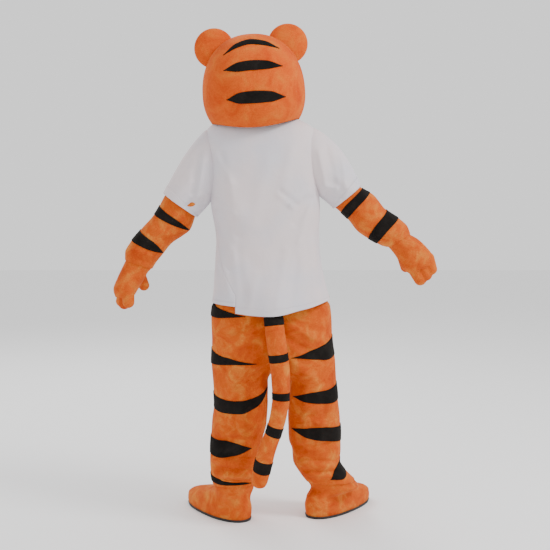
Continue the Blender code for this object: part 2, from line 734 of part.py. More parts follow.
def head_surface(first, last, slip=0.0):
    """Part of the head's dome between two angles, from the rim up to the crown."""
    def head(u, v):
        angle = first + (last - first) * np.asarray(u) + 0.0 * np.asarray(v)
        low = np.where(np.sin(angle) > 0, RIM_BACK, RIM_FRONT)
        rim = RIM_SIDE + (low - RIM_SIDE) * np.sin(angle) ** 2 - HEAD_CENTRE[2]
        start = -np.arcsin(np.abs(rim / HEAD_DOWN) ** (HEAD_SQUARE / 2))
        rise = start + (math.pi / 2 - start) * v
        out, up = superellipse(rise, HEAD_SQUARE)
        out = np.maximum(out, 0.0)
        across, deep = superellipse(angle, HEAD_SQUARE)
        tall = np.where(up > 0, HEAD_UP, HEAD_DOWN)
        return stack(HEAD_HALF * across * out, HEAD_DEPTH * deep * out + slip, tall * up)
    return transformed(head, head_matrix())


def head_filled(distance):
    mesh = grid_mesh(head_surface(0.0, 2 * math.pi), 2 * HEAD_GRID[0], HEAD_GRID[1], distance)
    bmesh.ops.holes_fill(mesh, edges=[edge for edge in mesh.edges if edge.is_boundary], sides=0)
    bmesh.ops.recalc_face_normals(mesh, faces=mesh.faces)
    return mesh


def ball_mesh(centre, radii, segments=14, rings=8):
    mesh = bmesh.new()
    bmesh.ops.create_uvsphere(mesh, u_segments=segments, v_segments=rings, radius=1.0)
    bmesh.ops.scale(mesh, vec=radii, verts=mesh.verts)
    bmesh.ops.translate(mesh, vec=centre, verts=mesh.verts)
    return mesh


def finger_mesh(side, row, inset):
    """A ball drawn out from a finger's base to its tip."""
    base = np.array(row[0:3])
    tip = np.array(row[3:6])
    radius = row[6] - inset
    mesh = bmesh.new()
    bmesh.ops.create_uvsphere(mesh, u_segments=7, v_segments=5, radius=radius)
    length = np.linalg.norm(tip - base)
    for vert in mesh.verts:
        if vert.co.z > radius * 0.2:
            vert.co.z += length
    direction = bpy_vector(tip - base)
    bmesh.ops.transform(mesh, matrix=direction.to_track_quat("Z", "Y").to_matrix().to_4x4(),
                        verts=mesh.verts)
    bmesh.ops.translate(mesh, vec=base, verts=mesh.verts)
    if side == "right":
        bmesh.ops.scale(mesh, vec=(-1, 1, 1), verts=mesh.verts)
    bmesh.ops.recalc_face_normals(mesh, faces=mesh.faces)
    return mesh


def bpy_vector(values):
    return Matrix.Translation(values).translation


def stripe_patch(rows, place, deep, tip=0.001, columns=7, across=1):
    """Cutter under a stripe: its outline on a surface, thickened both ways, blunt at its tips."""
    table = Table("at middle half", rows)
    first = rows[0][0]
    last = rows[-1][0]

    def outline(u, v):
        row = table.at(first + (last - first) * np.asarray(u))
        half = np.maximum(row.half, tip)
        return place(row.at, row.middle + (2 * v - 1) * half)
    return wall_mesh(outline, (columns, across), deep, -deep)


def make_head():
    crown = {
        "head_back": head_surface(0.0, math.pi, SEAM / 2),
        "head_front": head_surface(math.pi, 2 * math.pi, -SEAM / 2),
    }
    shoulders = [add_cutter("cut_under_" + name, wall_mesh(surface, BODY_GRID, SEAM, -REST_DEPTH))
                 for name, surface in shirt_panels().items()]
    for name, surface in crown.items():
        piece = add_piece(name, wall_mesh(surface, HEAD_GRID, 0.0, -FOAM), "head")
        combine(piece, "DIFFERENCE", *shoulders)
    dome = add_cutter("cut_head", head_filled(SEAM))
    for side, centre in EARS.items():
        mesh = ball_mesh((0, 0, 0), (EAR_RADIUS, EAR_THICK, EAR_RADIUS), 14, 7)
        bmesh.ops.translate(mesh, vec=centre, verts=mesh.verts)
        bmesh.ops.transform(mesh, matrix=head_matrix(), verts=mesh.verts)
        combine(add_piece("ear_" + side, mesh, "head"), "DIFFERENCE", dome)
    make_face(crown["head_front"], dome)
    for name, rows in BACK_STRIPES.items():
        add_head_stripe(name, crown["head_back"], rows, 1.0)
    for name, rows in FACE_STRIPES.items():
        add_head_stripe(name, crown["head_front"], rows, -1.0)


def full_body(inset):
    """The whole T-shirt body as one ring from below the hem to the neck, without its folds."""
    def body(u, v):
        angle = 2 * math.pi * np.asarray(u)
        top = neck_height(angle)
        return body_ring(angle, top + (WAIST - top) * (1 - v) ** ROW_CROWDING, inset)
    return body


def add_head_stripe(name, surface, rows, face):
    piece = add_piece(name, wall_mesh(surface, HEAD_GRID, SEAM, SEAM + APPLIQUE), "black")
    middle_y = face * HEAD_DEPTH * 0.6

    def flat(x, z):
        return stack(x, middle_y, z)
    place = transformed_place(flat)
    combine(piece, "INTERSECT", add_cutter("cut_" + name, stripe_patch(rows, place, 0.110)))


def transformed_place(flat):
    matrix = head_matrix()
    turn = np.array(matrix.to_3x3())
    shift = np.array(matrix.translation)

    def placed(x, z):
        return flat(x, z) @ turn.T + shift
    return placed


def make_face(surface, dome):
    """A plain, friendly tiger face: cream muzzle, black nose and mouth, round eyes."""
    matrix = head_matrix()
    muzzle_mesh = ball_mesh((0, MUZZLE.y, MUZZLE.z), (MUZZLE.half, MUZZLE.deep, MUZZLE.high), 14, 8)
    bmesh.ops.transform(muzzle_mesh, matrix=matrix, verts=muzzle_mesh.verts)
    muzzle = add_piece("muzzle", muzzle_mesh, "cream")
    combine(muzzle, "DIFFERENCE", dome)
    swollen = ball_mesh((0, MUZZLE.y, MUZZLE.z),
                        (MUZZLE.half + SEAM, MUZZLE.deep + SEAM, MUZZLE.high + SEAM), 14, 8)
    bmesh.ops.transform(swollen, matrix=matrix, verts=swollen.verts)
    ball = add_cutter("cut_muzzle", swollen)
    nose_mesh = ball_mesh((0, NOSE.y, NOSE.z), (NOSE.half, NOSE.deep, NOSE.high), 10, 6)
    bmesh.ops.transform(nose_mesh, matrix=matrix, verts=nose_mesh.verts)
    combine(add_piece("nose", nose_mesh, "gloss"), "DIFFERENCE", ball)
    add_mouth(ball)
    for side, sign in (("left", 1), ("right", -1)):
        for name, spot, finish, lift in (("eye_white_", EYE, "white", 0.0),
                                         ("pupil_", PUPIL, "gloss", APPLIQUE + SEAM)):
            piece = add_piece(name + side, wall_mesh(
                surface, HEAD_GRID, SEAM + lift, SEAM + APPLIQUE + lift), finish)
            mesh = bmesh.new()
            bmesh.ops.create_cone(mesh, cap_ends=True, segments=20, radius1=1.0, radius2=1.0, depth=0.2)
            bmesh.ops.rotate(mesh, matrix=Matrix.Rotation(math.pi / 2, 3, "X"), verts=mesh.verts)
            bmesh.ops.scale(mesh, vec=(spot.half, 1.0, spot.high), verts=mesh.verts)
            bmesh.ops.translate(mesh, vec=(sign * spot.x, -HEAD_DEPTH, spot.z), verts=mesh.verts)
            bmesh.ops.transform(mesh, matrix=matrix, verts=mesh.verts)
            combine(piece, "INTERSECT", add_cutter("cut_" + name + side, mesh))


def add_mouth(ball):
    """A smiling line on the muzzle, cut from a skin over it."""
    skin = ball_mesh((0, MUZZLE.y, MUZZLE.z), (MUZZLE.half + SEAM + APPLIQUE,
                     MUZZLE.deep + SEAM + APPLIQUE, MUZZLE.high + SEAM + APPLIQUE), 14, 8)
    bmesh.ops.transform(skin, matrix=head_matrix(), verts=skin.verts)
    piece = add_piece("mouth", skin, "black")

    def place(x, across):
        z = MOUTH.z + MOUTH.rise * (x / MOUTH.half) ** 2 + across
        return stack(x, -HEAD_DEPTH - 0.010, z)
    rows = ((-MOUTH.half, 0.0, 0.001), (0.0, 0.0, MOUTH.wide / 2), (MOUTH.half, 0.0, 0.001))
    cutter = add_cutter("cut_mouth", stripe_patch(rows, transformed_place(place), 0.060))
    combine(piece, "INTERSECT", cutter)
    combine(piece, "DIFFERENCE", ball)


def shirt_panels():
    return {
        "shirt_back": shirt_surface(back_seams, SHIRT_HEM_BACK),
        "shirt_front": shirt_surface(front_seams, SHIRT_HEM_FRONT),
    }


def make_shirt():
    body = add_cutter("cut_shirt_body", filled_mesh(
        full_body(0.0), (2 * BODY_GRID[0], BODY_GRID[1]), SEAM))
    tubes = []
    for side, table in SHIRT_SLEEVES.items():
        tube = mirrored(limb_surface(table, 0, 5), side)
        tubes.append(add_cutter("cut_armhole_" + side, filled_mesh(tube, SLEEVE_GRID, SEAM)))
        piece = add_piece("shirt_sleeve_" + side, wall_mesh(tube, SLEEVE_GRID, 0.0, -JERSEY), "jersey")
        combine(piece, "DIFFERENCE", body)
    for name, surface in shirt_panels().items():
        piece = add_piece(name, wall_mesh(surface, BODY_GRID, 0.0, -JERSEY), "jersey")
        combine(piece, "DIFFERENCE", *tubes)


def make_torso():
    inner = add_cutter("cut_torso_body", filled_mesh(
        torso_surface(0.0, 2 * math.pi), (2 * TORSO_GRID[0], TORSO_GRID[1]), SEAM))
    tubes = []
    for side, table in ARMS.items():
        tube = mirrored(limb_surface(table, 0, ARM_END), side)
        short = mirrored(limb_surface(table, 0, 4), side)
        tubes.append(add_cutter("cut_suit_armhole_" + side, filled_mesh(short, (16, 5), SEAM)))
        piece = add_piece("arm_" + side, wall_mesh(tube, ARM_GRID, 0.0, -PLUSH), "plush")
        combine(piece, "DIFFERENCE", inner)
        for number, rows in enumerate(ARM_STRIPES[side], 1):
            add_limb_stripe(f"arm_stripe_{side}_{number}", tube, ARM_GRID, rows, arm_place(side), 0.02)
    slip = SEAM / 2 / 0.2
    for name, first in (("torso_back", 0.0), ("torso_front", math.pi)):
        surface = torso_surface(first + slip, first + math.pi - slip)
        piece = add_piece(name, wall_mesh(surface, TORSO_GRID, 0.0, -PLUSH), "plush")
        combine(piece, "DIFFERENCE", *tubes)


def arm_place(side):
    tube = mirrored(limb_surface(ARMS[side], 0, ARM_END), side)

    def place(degrees, row):
        return tube(degrees / 360.0, row / ARM_END)
    return place


def leg_place(side):
    table = leg_table(side)
    flip = np.array((1.0 if side == "left" else -1.0, 1.0, 1.0))

    def place(degrees, z):
        row = table.at(z)
        middle = (row.outer + row.inner) / 2
        across, deep = superellipse(np.radians(degrees), BODY_SQUARE)
        y = (row.back + row.front) / 2 + (row.back - row.front) / 2 * deep
        return stack(middle + (row.outer - middle) * across, y, z) * flip
    return place


def add_limb_stripe(name, surface, grid, rows, place, tip):
    piece = add_piece(name, wall_mesh(surface, grid, SEAM, SEAM + APPLIQUE), "black")
    combine(piece, "INTERSECT", add_cutter("cut_" + name, stripe_patch(rows, place, 0.016, tip)))


def make_legs():
    for side in LEGS:
        surface = leg_surface(side)
        add_piece("leg_" + side, wall_mesh(surface, LEG_GRID, 0.0, -PLUSH), "plush")
        for number, rows in enumerate(LEG_STRIPES[side], 1):
            add_limb_stripe(f"leg_stripe_{side}_{number}", surface, LEG_GRID, rows, leg_place(side), 0.001)


def make_tail():
    surface = rounded_tip(tail_surface(0, TAIL_TIP), 0.04)
    whole_seat = folded(seat_surface, LEG_FOLDS)
    seat = add_cutter("cut_seat", filled_mesh(whole_seat, (2 * LEG_GRID[0], SEAT_ROWS), SEAM))
    piece = add_piece("tail", filled_mesh(surface, TAIL_GRID, 0.0), "plush")
    combine(piece, "DIFFERENCE", seat)
    for number, (first, last) in enumerate(TAIL_BANDS, 1):
        band = add_piece(f"tail_band_{number}", wall_mesh(surface, TAIL_GRID, SEAM, SEAM + APPLIQUE), "black")
        length = filled_mesh(tail_surface(first, last), (TAIL_GRID[0], 1), BAND_REACH)
        combine(band, "INTERSECT", add_cutter(f"cut_tail_band_{number}", length))
        if number == 1:
            combine(band, "DIFFERENCE", seat)


def cuff_row(side, number, row, inset):
    """A ring of the arm, moved inwards: where the glove passes up inside the arm's end."""
    ring = ARMS[side].at(row)
    across = np.array((ring.outer_x - ring.inner_x, ring.outer_z - ring.inner_z))
    across *= inset / np.linalg.norm(across)
    return (number, ring.outer_x - across[0], ring.outer_z - across[1],
            ring.inner_x + across[0], ring.inner_z + across[1], ring.y, ring.depth - inset)


def palm_table(side):
    cuff = [cuff_row(side, 0, ARM_END - 1, CUFF_SLACK), cuff_row(side, 1, ARM_END, PLUSH + SLIDE)]
    return Table(EDGES, cuff + PALMS[side])


def make_gloves():
    for side in PALMS:
        palm = mirrored(limb_surface(palm_table(side), 0, PALM_END), side)
        piece = add_piece("glove_" + side, filled_mesh(palm, PALM_GRID, 0.0), "plush")
        inside = mirrored(limb_surface(palm_table(side), -0.3, PALM_END - 0.1), side)
        hollow = add_cutter("cut_palm_" + side, filled_mesh(inside, PALM_GRID, -PLUSH))
        for number, row in enumerate(FINGERS[side]):
            finger = add_cutter(f"finger_{side}_{number}", finger_mesh(side, row, 0.0))
            combine(piece, "UNION", finger)
            space = add_cutter(f"cut_finger_{side}_{number}", finger_mesh(side, row, PLUSH))
            combine(hollow, "UNION", space)
        combine(piece, "DIFFERENCE", hollow)


def make_feet():
    for side in FOOT_PLACES:
        upper = foot_surface(side, SOLE_THICK + SEAM, COLLAR_TOP)
        add_piece("foot_" + side, wall_mesh(upper, FOOT_GRID, 0.0, -PLUSH), "plush")
        slab = foot_surface(side, 0.0, SOLE_THICK, SOLE_LIP)
        add_piece("sole_" + side, filled_mesh(slab, (FOOT_GRID[0], 1), 0.0), "sole")


def main():
    clear_scene()
    collection(NAME)
    collection("cutters")
    make_head()
    make_shirt()
    make_torso()
    make_legs()
    make_tail()
    make_gloves()
    make_feet()


main()
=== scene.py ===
"""Looks of the worn tiger mascot costume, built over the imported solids.

Metres, +Z up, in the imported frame: it faces -Y and its left side is +X. Every cloth piece is a wall
between two distances from a surface, and the surfaces run through the same tables of sections as
the solids, with the small folds added.
"""

import math
from types import SimpleNamespace

import bmesh
import bpy
import numpy as np
from mathutils import Matrix, Vector, noise


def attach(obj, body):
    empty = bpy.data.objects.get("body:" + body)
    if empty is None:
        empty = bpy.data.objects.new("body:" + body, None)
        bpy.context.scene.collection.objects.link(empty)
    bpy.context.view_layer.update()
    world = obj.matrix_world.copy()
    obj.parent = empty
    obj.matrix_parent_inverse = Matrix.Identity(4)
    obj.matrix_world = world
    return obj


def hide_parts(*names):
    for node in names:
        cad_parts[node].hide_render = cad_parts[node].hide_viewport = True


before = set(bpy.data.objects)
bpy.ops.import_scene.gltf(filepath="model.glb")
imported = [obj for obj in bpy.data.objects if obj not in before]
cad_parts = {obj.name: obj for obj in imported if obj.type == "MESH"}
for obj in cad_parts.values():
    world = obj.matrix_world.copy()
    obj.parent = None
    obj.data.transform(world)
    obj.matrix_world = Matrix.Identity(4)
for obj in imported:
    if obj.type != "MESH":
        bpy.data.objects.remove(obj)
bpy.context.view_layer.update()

# Walls and gaps
SEAM = 0.0003
JERSEY = 0.0018
PLUSH = 0.003
FOAM = 0.009
APPLIQUE = 0.002
WELD = 0.00002
SLIDE = 0.0006
REST_DEPTH = 0.020

# Heights of the suit's seams
FLOOR = -1.470
WAIST = -0.590
WAIST_SLACK = 0.0012
TORSO_NECK = 0.062
TROUSER_HEM = -1.334

BODY_SQUARE = 2.4
LIMB_SQUARE = 2.15
BODY_ROWS = 12
LEG_ROWS = 16


class Table:
    """Sizes in named columns, read between the rows on a smooth curve that never overshoots."""

    def __init__(self, columns, rows):
        self.columns = columns.split()
        self.values = np.array(rows, dtype=float)
        steps = np.diff(self.values, axis=0) / np.diff(self.values[:, :1], axis=0)
        before = steps[:-1]
        after = steps[1:]
        same_way = before * after > 0
        total = np.where(same_way, before + after, 1.0)
        inner = np.where(same_way, 2 * before * after / total, 0.0)
        self.slopes = np.vstack([steps[:1], inner, steps[-1:]])

    def at(self, key):
        key = np.asarray(key, dtype=float)
        keys = self.values[:, 0]
        low = np.clip(np.searchsorted(keys, key, side="right") - 1, 0, len(keys) - 2)
        width = (keys[low + 1] - keys[low])[..., None]
        t = (key - keys[low])[..., None] / width
        rise = t * t * (3 - 2 * t)
        result = self.values[low] * (1 - rise) + self.values[low + 1] * rise
        result = result + width * t * (1 - t) * ((1 - t) * self.slopes[low] - t * self.slopes[low + 1])
        return SimpleNamespace(**{name: result[..., n] for n, name in enumerate(self.columns)})


# The T-shirt's sections, hem to neck. middle is the middle in x, back and front are in y.
SHIRT = Table("z middle half back front", [
    (-0.700, -0.036, 0.225, 0.190, -0.154),
    (-0.640, -0.035, 0.224, 0.180, -0.152),
    (-0.574, -0.030, 0.213, 0.157, -0.144),
    (-0.482, -0.023, 0.201, 0.137, -0.137),
    (-0.391, -0.021, 0.195, 0.133, -0.135),
    (-0.264, -0.013, 0.205, 0.138, -0.140),
    (-0.120, -0.005, 0.206, 0.134, -0.138),
    (-0.050, -0.002, 0.210, 0.124, -0.132),
    (-0.010, 0.002, 0.210, 0.112, -0.124),
    (0.012, 0.004, 0.204, 0.104, -0.117),
    (0.028, 0.005, 0.191, 0.096, -0.110),
    (0.040, 0.005, 0.172, 0.088, -0.101),
    (0.053, 0.005, 0.146, 0.078, -0.091),
    (0.064, 0.005, 0.120, 0.069, -0.081),
    (0.078, 0.005, 0.086, 0.058, -0.068),
])

# How much narrower the suit's torso is than the T-shirt, all round.
TORSO_INSET = Table("z inset", [(WAIST, 0.014), (-0.200, 0.012), (-0.020, 0.0094), (0.078, 0.0084)])

# The T-shirt hangs twisted: its side seams run from the armpits to these angles at the hem.
ARMPIT = -0.262
SLIT_TOP = -0.596
ROW_CROWDING = 1.7
HEM_TWIST = (math.radians(58), math.radians(35))
NECK_TOP = 0.074
NECK_DIP_BACK = 0.020
NECK_DIP_FRONT = 0.080
SHIRT_HEM_BACK = Table("across z", [
    (0.0, -0.661), (0.18, -0.666), (0.36, -0.647), (0.66, -0.622), (1.0, -0.618),
])
SHIRT_HEM_FRONT = Table("across z", [(0.0, -0.602), (0.27, -0.610), (0.71, -0.628), (1.0, -0.636)])

# Sleeves and arms: the two edges seen from behind, x outwards, the middle in y and half the depth.
EDGES = "row outer_x outer_z inner_x inner_z y depth"
SHIRT_SLEEVES = {
    "left": Table(EDGES, [
        (0, 0.130, 0.038, 0.130, -0.200, 0.000, 0.058),
        (1, 0.196, 0.024, 0.190, -0.252, -0.002, 0.083),
        (2, 0.243, -0.016, 0.209, -0.273, -0.004, 0.086),
        (3, 0.290, -0.077, 0.222, -0.288, -0.006, 0.084),
        (4, 0.334, -0.148, 0.235, -0.301, -0.009, 0.082),
        (5, 0.373, -0.221, 0.246, -0.312, -0.012, 0.080),
    ]),
    "right": Table(EDGES, [
        (0, 0.120, 0.040, 0.125, -0.185, 0.000, 0.058),
        (1, 0.188, 0.026, 0.203, -0.226, -0.002, 0.083),
        (2, 0.240, -0.004, 0.228, -0.243, -0.004, 0.085),
        (3, 0.288, -0.047, 0.244, -0.256, -0.006, 0.082),
        (4, 0.334, -0.114, 0.258, -0.268, -0.009, 0.078),
        (5, 0.375, -0.193, 0.271, -0.279, -0.012, 0.074),
    ]),
}
ARMS = {
    "left": Table(EDGES, [
        (0, 0.120, 0.018, 0.120, -0.180, 0.000, 0.046),
        (1, 0.184, 0.006, 0.178, -0.234, -0.002, 0.072),
        (2, 0.234, -0.032, 0.206, -0.258, -0.004, 0.076),
        (3, 0.281, -0.092, 0.222, -0.276, -0.006, 0.075),
        (4, 0.324, -0.158, 0.237, -0.293, -0.009, 0.074),
        (5, 0.366, -0.227, 0.252, -0.308, -0.012, 0.072),
        (6, 0.402, -0.293, 0.274, -0.361, -0.014, 0.070),
        (7, 0.456, -0.355, 0.342, -0.410, -0.017, 0.064),
        (8, 0.500, -0.406, 0.377, -0.452, -0.020, 0.062),
        (9, 0.522, -0.446, 0.406, -0.488, -0.022, 0.060),
        (10, 0.523, -0.474, 0.419, -0.509, -0.023, 0.053),
    ]),
    "right": Table(EDGES, [
        (0, 0.110, 0.020, 0.115, -0.165, 0.000, 0.046),
        (1, 0.176, 0.008, 0.190, -0.208, -0.002, 0.072),
        (2, 0.232, -0.020, 0.224, -0.228, -0.004, 0.076),
        (3, 0.280, -0.062, 0.241, -0.243, -0.006, 0.074),
        (4, 0.326, -0.124, 0.257, -0.258, -0.009, 0.070),
        (5, 0.371, -0.197, 0.276, -0.275, -0.012, 0.067),
        (6, 0.423, -0.229, 0.322, -0.316, -0.015, 0.068),
        (7, 0.466, -0.281, 0.367, -0.370, -0.018, 0.066),
        (8, 0.518, -0.316, 0.417, -0.401, -0.021, 0.064),
        (9, 0.553, -0.348, 0.459, -0.423, -0.024, 0.060),
        (10, 0.564, -0.375, 0.476, -0.427, -0.026, 0.052),
    ]),
}
ARM_END = 10

# Trousers: the two edges of each leg, x towards its own side. Above the crotch the inner edge is
# past the centre plane, and the piece stops at that plane.
LEG_COLUMNS = "z outer inner back front"
LEGS = {
    "left": [
        (-1.341, 0.190, 0.028, 0.080, -0.100),
        (-1.286, 0.198, 0.020, 0.088, -0.100),
        (-1.247, 0.201, 0.013, 0.091, -0.098),
        (-1.169, 0.197, 0.001, 0.096, -0.099),
        (-1.091, 0.192, -0.018, 0.100, -0.102),
        (-1.013, 0.184, -0.022, 0.104, -0.104),
        (-0.935, 0.188, -0.022, 0.112, -0.108),
        (-0.891, 0.191, -0.044, 0.118, -0.114),
        (-0.858, 0.192, -0.075, 0.125, -0.118),
        (-0.781, 0.191, -0.160, 0.142, -0.130),
        (-0.704, 0.193, -0.235, 0.148, -0.137),
        (-0.650, 0.189, -0.260, 0.146, -0.138),
        (-0.628, 0.177, -0.247, 0.149, -0.135),
    ],
    "right": [
        (-1.341, 0.366, 0.172, 0.040, -0.148),
        (-1.294, 0.319, 0.139, 0.047, -0.141),
        (-1.255, 0.299, 0.119, 0.053, -0.135),
        (-1.208, 0.303, 0.115, 0.060, -0.131),
        (-1.169, 0.303, 0.103, 0.066, -0.128),
        (-1.091, 0.299, 0.099, 0.078, -0.122),
        (-1.013, 0.291, 0.099, 0.092, -0.116),
        (-0.935, 0.283, 0.103, 0.106, -0.112),
        (-0.891, 0.281, 0.048, 0.116, -0.115),
        (-0.858, 0.278, 0.011, 0.125, -0.118),
        (-0.781, 0.267, -0.084, 0.142, -0.130),
        (-0.704, 0.264, -0.168, 0.148, -0.137),
        (-0.650, 0.259, -0.188, 0.146, -0.138),
        (-0.628, 0.247, -0.177, 0.149, -0.135),
    ],
}
CENTRE = Table("z x", [
    (-0.900, -0.046), (-0.858, -0.043), (-0.781, -0.038), (-0.704, -0.036), (-0.650, -0.0355),
    (-0.628, -0.035), (WAIST, -0.0314),
])

# Shoe covers: sections by height over the floor. toe and heel run forwards from the heel point.
# inset is the collar's distance inside the trouser leg, more where that leans.
SOLE_THICK = 0.008
COLLAR_LOW = 0.076
COLLAR_HIGH = 0.118
COLLAR_TOP = 0.165
SOLE_LIP = 0.004
FOOT = Table("height toe heel half", [
    (0.000, 0.372, -0.006, 0.074),
    (0.024, 0.380, -0.012, 0.080),
    (0.045, 0.376, -0.014, 0.080),
    (0.062, 0.352, -0.012, 0.075),
    (0.076, 0.302, -0.008, 0.069),
    (0.095, 0.245, -0.004, 0.066),
    (0.120, 0.205, 0.000, 0.070),
    (0.165, 0.185, 0.002, 0.074),
])
FOOT_SQUARE = 2.3
FOOT_PLACES = {
    "left": SimpleNamespace(heel_x=0.073, heel_y=0.064, turn=math.radians(32.3), inset=0.0037),
    "right": SimpleNamespace(heel_x=0.196, heel_y=0.017, turn=math.radians(34.0), inset=0.0051),
}

# The tail's centre line from the seat to the tip.
TAIL = Table("row x y z radius", [
    (0, -0.038, 0.110, -0.628, 0.032),
    (1, -0.041, 0.168, -0.650, 0.034),
    (2, -0.045, 0.188, -0.690, 0.035),
    (3, -0.050, 0.191, -0.735, 0.036),
    (4, -0.059, 0.191, -0.800, 0.036),
    (5, -0.069, 0.188, -0.884, 0.035),
    (6, -0.071, 0.188, -0.960, 0.032),
    (7, -0.064, 0.186, -1.022, 0.031),
    (8, -0.047, 0.180, -1.091, 0.030),
    (9, -0.022, 0.170, -1.160, 0.032),
    (10, -0.005, 0.160, -1.225, 0.033),
    (11, 0.008, 0.150, -1.285, 0.031),
    (12, 0.014, 0.145, -1.318, 0.021),
])
TAIL_TIP = 12
BAND_REACH = 0.008
TAIL_BANDS = ((1.60, 2.26), (4.07, 4.40), (5.84, 6.23), (7.77, 8.26), (9.74, 10.43))

# Head: one rounded dome, leaning towards its left, with a saddle-shaped rim on the shoulders.
HEAD_CENTRE = (0.030, -0.010, 0.150)
HEAD_HALF = 0.193
HEAD_DEPTH = 0.198
HEAD_UP = 0.222
HEAD_DOWN = 0.179
HEAD_SQUARE = 2.2
HEAD_LEAN = math.radians(3.6)
RIM_SIDE = 0.047
RIM_BACK = 0.020
RIM_FRONT = 0.000

EAR_RADIUS = 0.075
EAR_THICK = 0.030
EARS = {"left": (0.138, 0.000, 0.178), "right": (-0.138, 0.000, 0.178)}

MUZZLE = SimpleNamespace(y=-0.150, z=-0.055, half=0.098, deep=0.100, high=0.066)
NOSE = SimpleNamespace(y=-0.244, z=-0.022, half=0.030, deep=0.020, high=0.020)
MOUTH = SimpleNamespace(half=0.052, z=-0.072, rise=0.020, wide=0.005)
EYE = SimpleNamespace(x=0.066, z=0.046, half=0.032, high=0.042)
PUPIL = SimpleNamespace(x=0.060, z=0.042, half=0.016, high=0.023)

# Stripes on the head as seen along Y: x, height of the middle and half the width, from the centre.
BACK_STRIPES = {
    "head_stripe_top": ((-0.104, 0.150, 0.0), (-0.050, 0.172, 0.009), (0.000, 0.180, 0.010),
                        (0.050, 0.168, 0.009), (0.100, 0.137, 0.0)),
    "head_stripe_middle": ((-0.112, 0.083, 0.0), (-0.050, 0.089, 0.016), (0.000, 0.090, 0.018),
                           (0.045, 0.087, 0.017), (0.102, 0.079, 0.0)),
    "head_stripe_low": ((-0.116, -0.028, 0.0), (-0.060, -0.025, 0.019), (0.000, -0.024, 0.022),
                        (0.045, -0.025, 0.020), (0.098, -0.027, 0.0)),
}
FACE_STRIPES = {
    "brow_stripe_top": ((-0.050, 0.160, 0.0), (0.000, 0.168, 0.009), (0.050, 0.160, 0.0)),
    "brow_stripe_middle": ((-0.040, 0.132, 0.0), (0.000, 0.137, 0.008), (0.040, 0.132, 0.0)),
    "brow_stripe_low": ((-0.026, 0.107, 0.0), (0.000, 0.110, 0.007), (0.026, 0.107, 0.0)),
    "cheek_stripe_left_upper": ((0.122, 0.000, 0.0), (0.152, 0.008, 0.008), (0.188, 0.020, 0.004)),
    "cheek_stripe_left_lower": ((0.124, -0.040, 0.0), (0.152, -0.036, 0.008), (0.184, -0.028, 0.004)),
    "cheek_stripe_right_upper": ((-0.188, 0.020, 0.004), (-0.152, 0.008, 0.008), (-0.122, 0.000, 0.0)),
    "cheek_stripe_right_lower": ((-0.184, -0.028, 0.004), (-0.152, -0.036, 0.008),
                                 (-0.124, -0.040, 0.0)),
}

# Stripes on the limbs: degrees from the outer side (more is further back), place along, half width.
LEG_STRIPES = {
    "left": (
        ((-62, -0.650, 0.0), (0, -0.657, 0.026), (35, -0.668, 0.017), (70, -0.676, 0.0)),
        ((-70, -0.842, 0.0), (0, -0.835, 0.028), (50, -0.846, 0.016), (102, -0.853, 0.0)),
        ((-62, -1.000, 0.0), (0, -1.004, 0.027), (80, -1.022, 0.025), (125, -1.000, 0.020),
         (165, -0.955, 0.002)),
        ((-75, -1.165, 0.0), (0, -1.176, 0.031), (67, -1.186, 0.033), (125, -1.182, 0.0)),
        ((-60, -1.296, 0.0), (0, -1.303, 0.013), (70, -1.316, 0.009), (140, -1.322, 0.0)),
    ),
    "right": (
        ((-70, -0.790, 0.0), (0, -0.794, 0.036), (45, -0.815, 0.027), (94, -0.830, 0.0)),
        ((-75, -0.966, 0.0), (0, -0.970, 0.031), (70, -0.986, 0.026), (141, -0.985, 0.0)),
        ((-72, -1.130, 0.0), (0, -1.139, 0.030), (75, -1.132, 0.027), (146, -1.114, 0.0)),
        ((-50, -1.246, 0.0), (0, -1.270, 0.027), (45, -1.292, 0.022), (82, -1.312, 0.0)),
    ),
}
ARM_STRIPES = {
    "left": (
        ((-70, 5.80, 0.0), (0, 5.86, 0.25), (85, 5.96, 0.20), (168, 6.00, 0.0)),
        ((-75, 7.30, 0.0), (0, 7.46, 0.36), (85, 7.66, 0.34), (166, 7.90, 0.0)),
    ),
    "right": (
        ((-80, 5.45, 0.0), (0, 5.42, 0.27), (85, 5.55, 0.29), (178, 5.80, 0.26), (230, 5.86, 0.0)),
        ((-70, 7.40, 0.0), (0, 7.52, 0.42), (85, 7.70, 0.42), (178, 8.05, 0.33), (235, 8.10, 0.0)),
    ),
}

# Large folds as seen from behind: a soft ridge (or, with a negative height, a trough) along a line.
FOLD_COLUMNS = "x0 z0 x1 z1 width height".split()
SHIRT_FOLDS = [
    (0.172, -0.020, 0.086, -0.300, 0.040, 0.007),
    (0.086, -0.300, 0.070, -0.560, 0.045, 0.008),
    (0.120, -0.330, 0.020, -0.520, 0.035, -0.006),
    (-0.150, -0.240, -0.090, -0.420, 0.040, -0.006),
    (-0.120, -0.420, -0.190, -0.600, 0.045, 0.006),
    (-0.042, -0.600, -0.046, -0.700, 0.085, 0.044),
]
LEG_FOLDS = [
    (0.080, -0.700, 0.160, -0.900, 0.040, -0.006),
    (0.060, -0.800, 0.140, -1.060, 0.036, 0.006),
    (0.030, -1.060, 0.180, -1.120, 0.028, -0.006),
    (0.010, -1.250, 0.200, -1.225, 0.022, 0.007),
    (0.010, -1.205, 0.200, -1.180, 0.022, -0.005),
    (-0.140, -0.720, -0.250, -0.920, 0.040, -0.006),
    (-0.120, -0.900, -0.230, -1.060, 0.036, 0.006),
    (-0.110, -1.070, -0.290, -1.060, 0.028, -0.006),
    (-0.120, -1.210, -0.300, -1.225, 0.024, -0.006),
    (-0.130, -1.250, -0.310, -1.262, 0.024, 0.007),
]

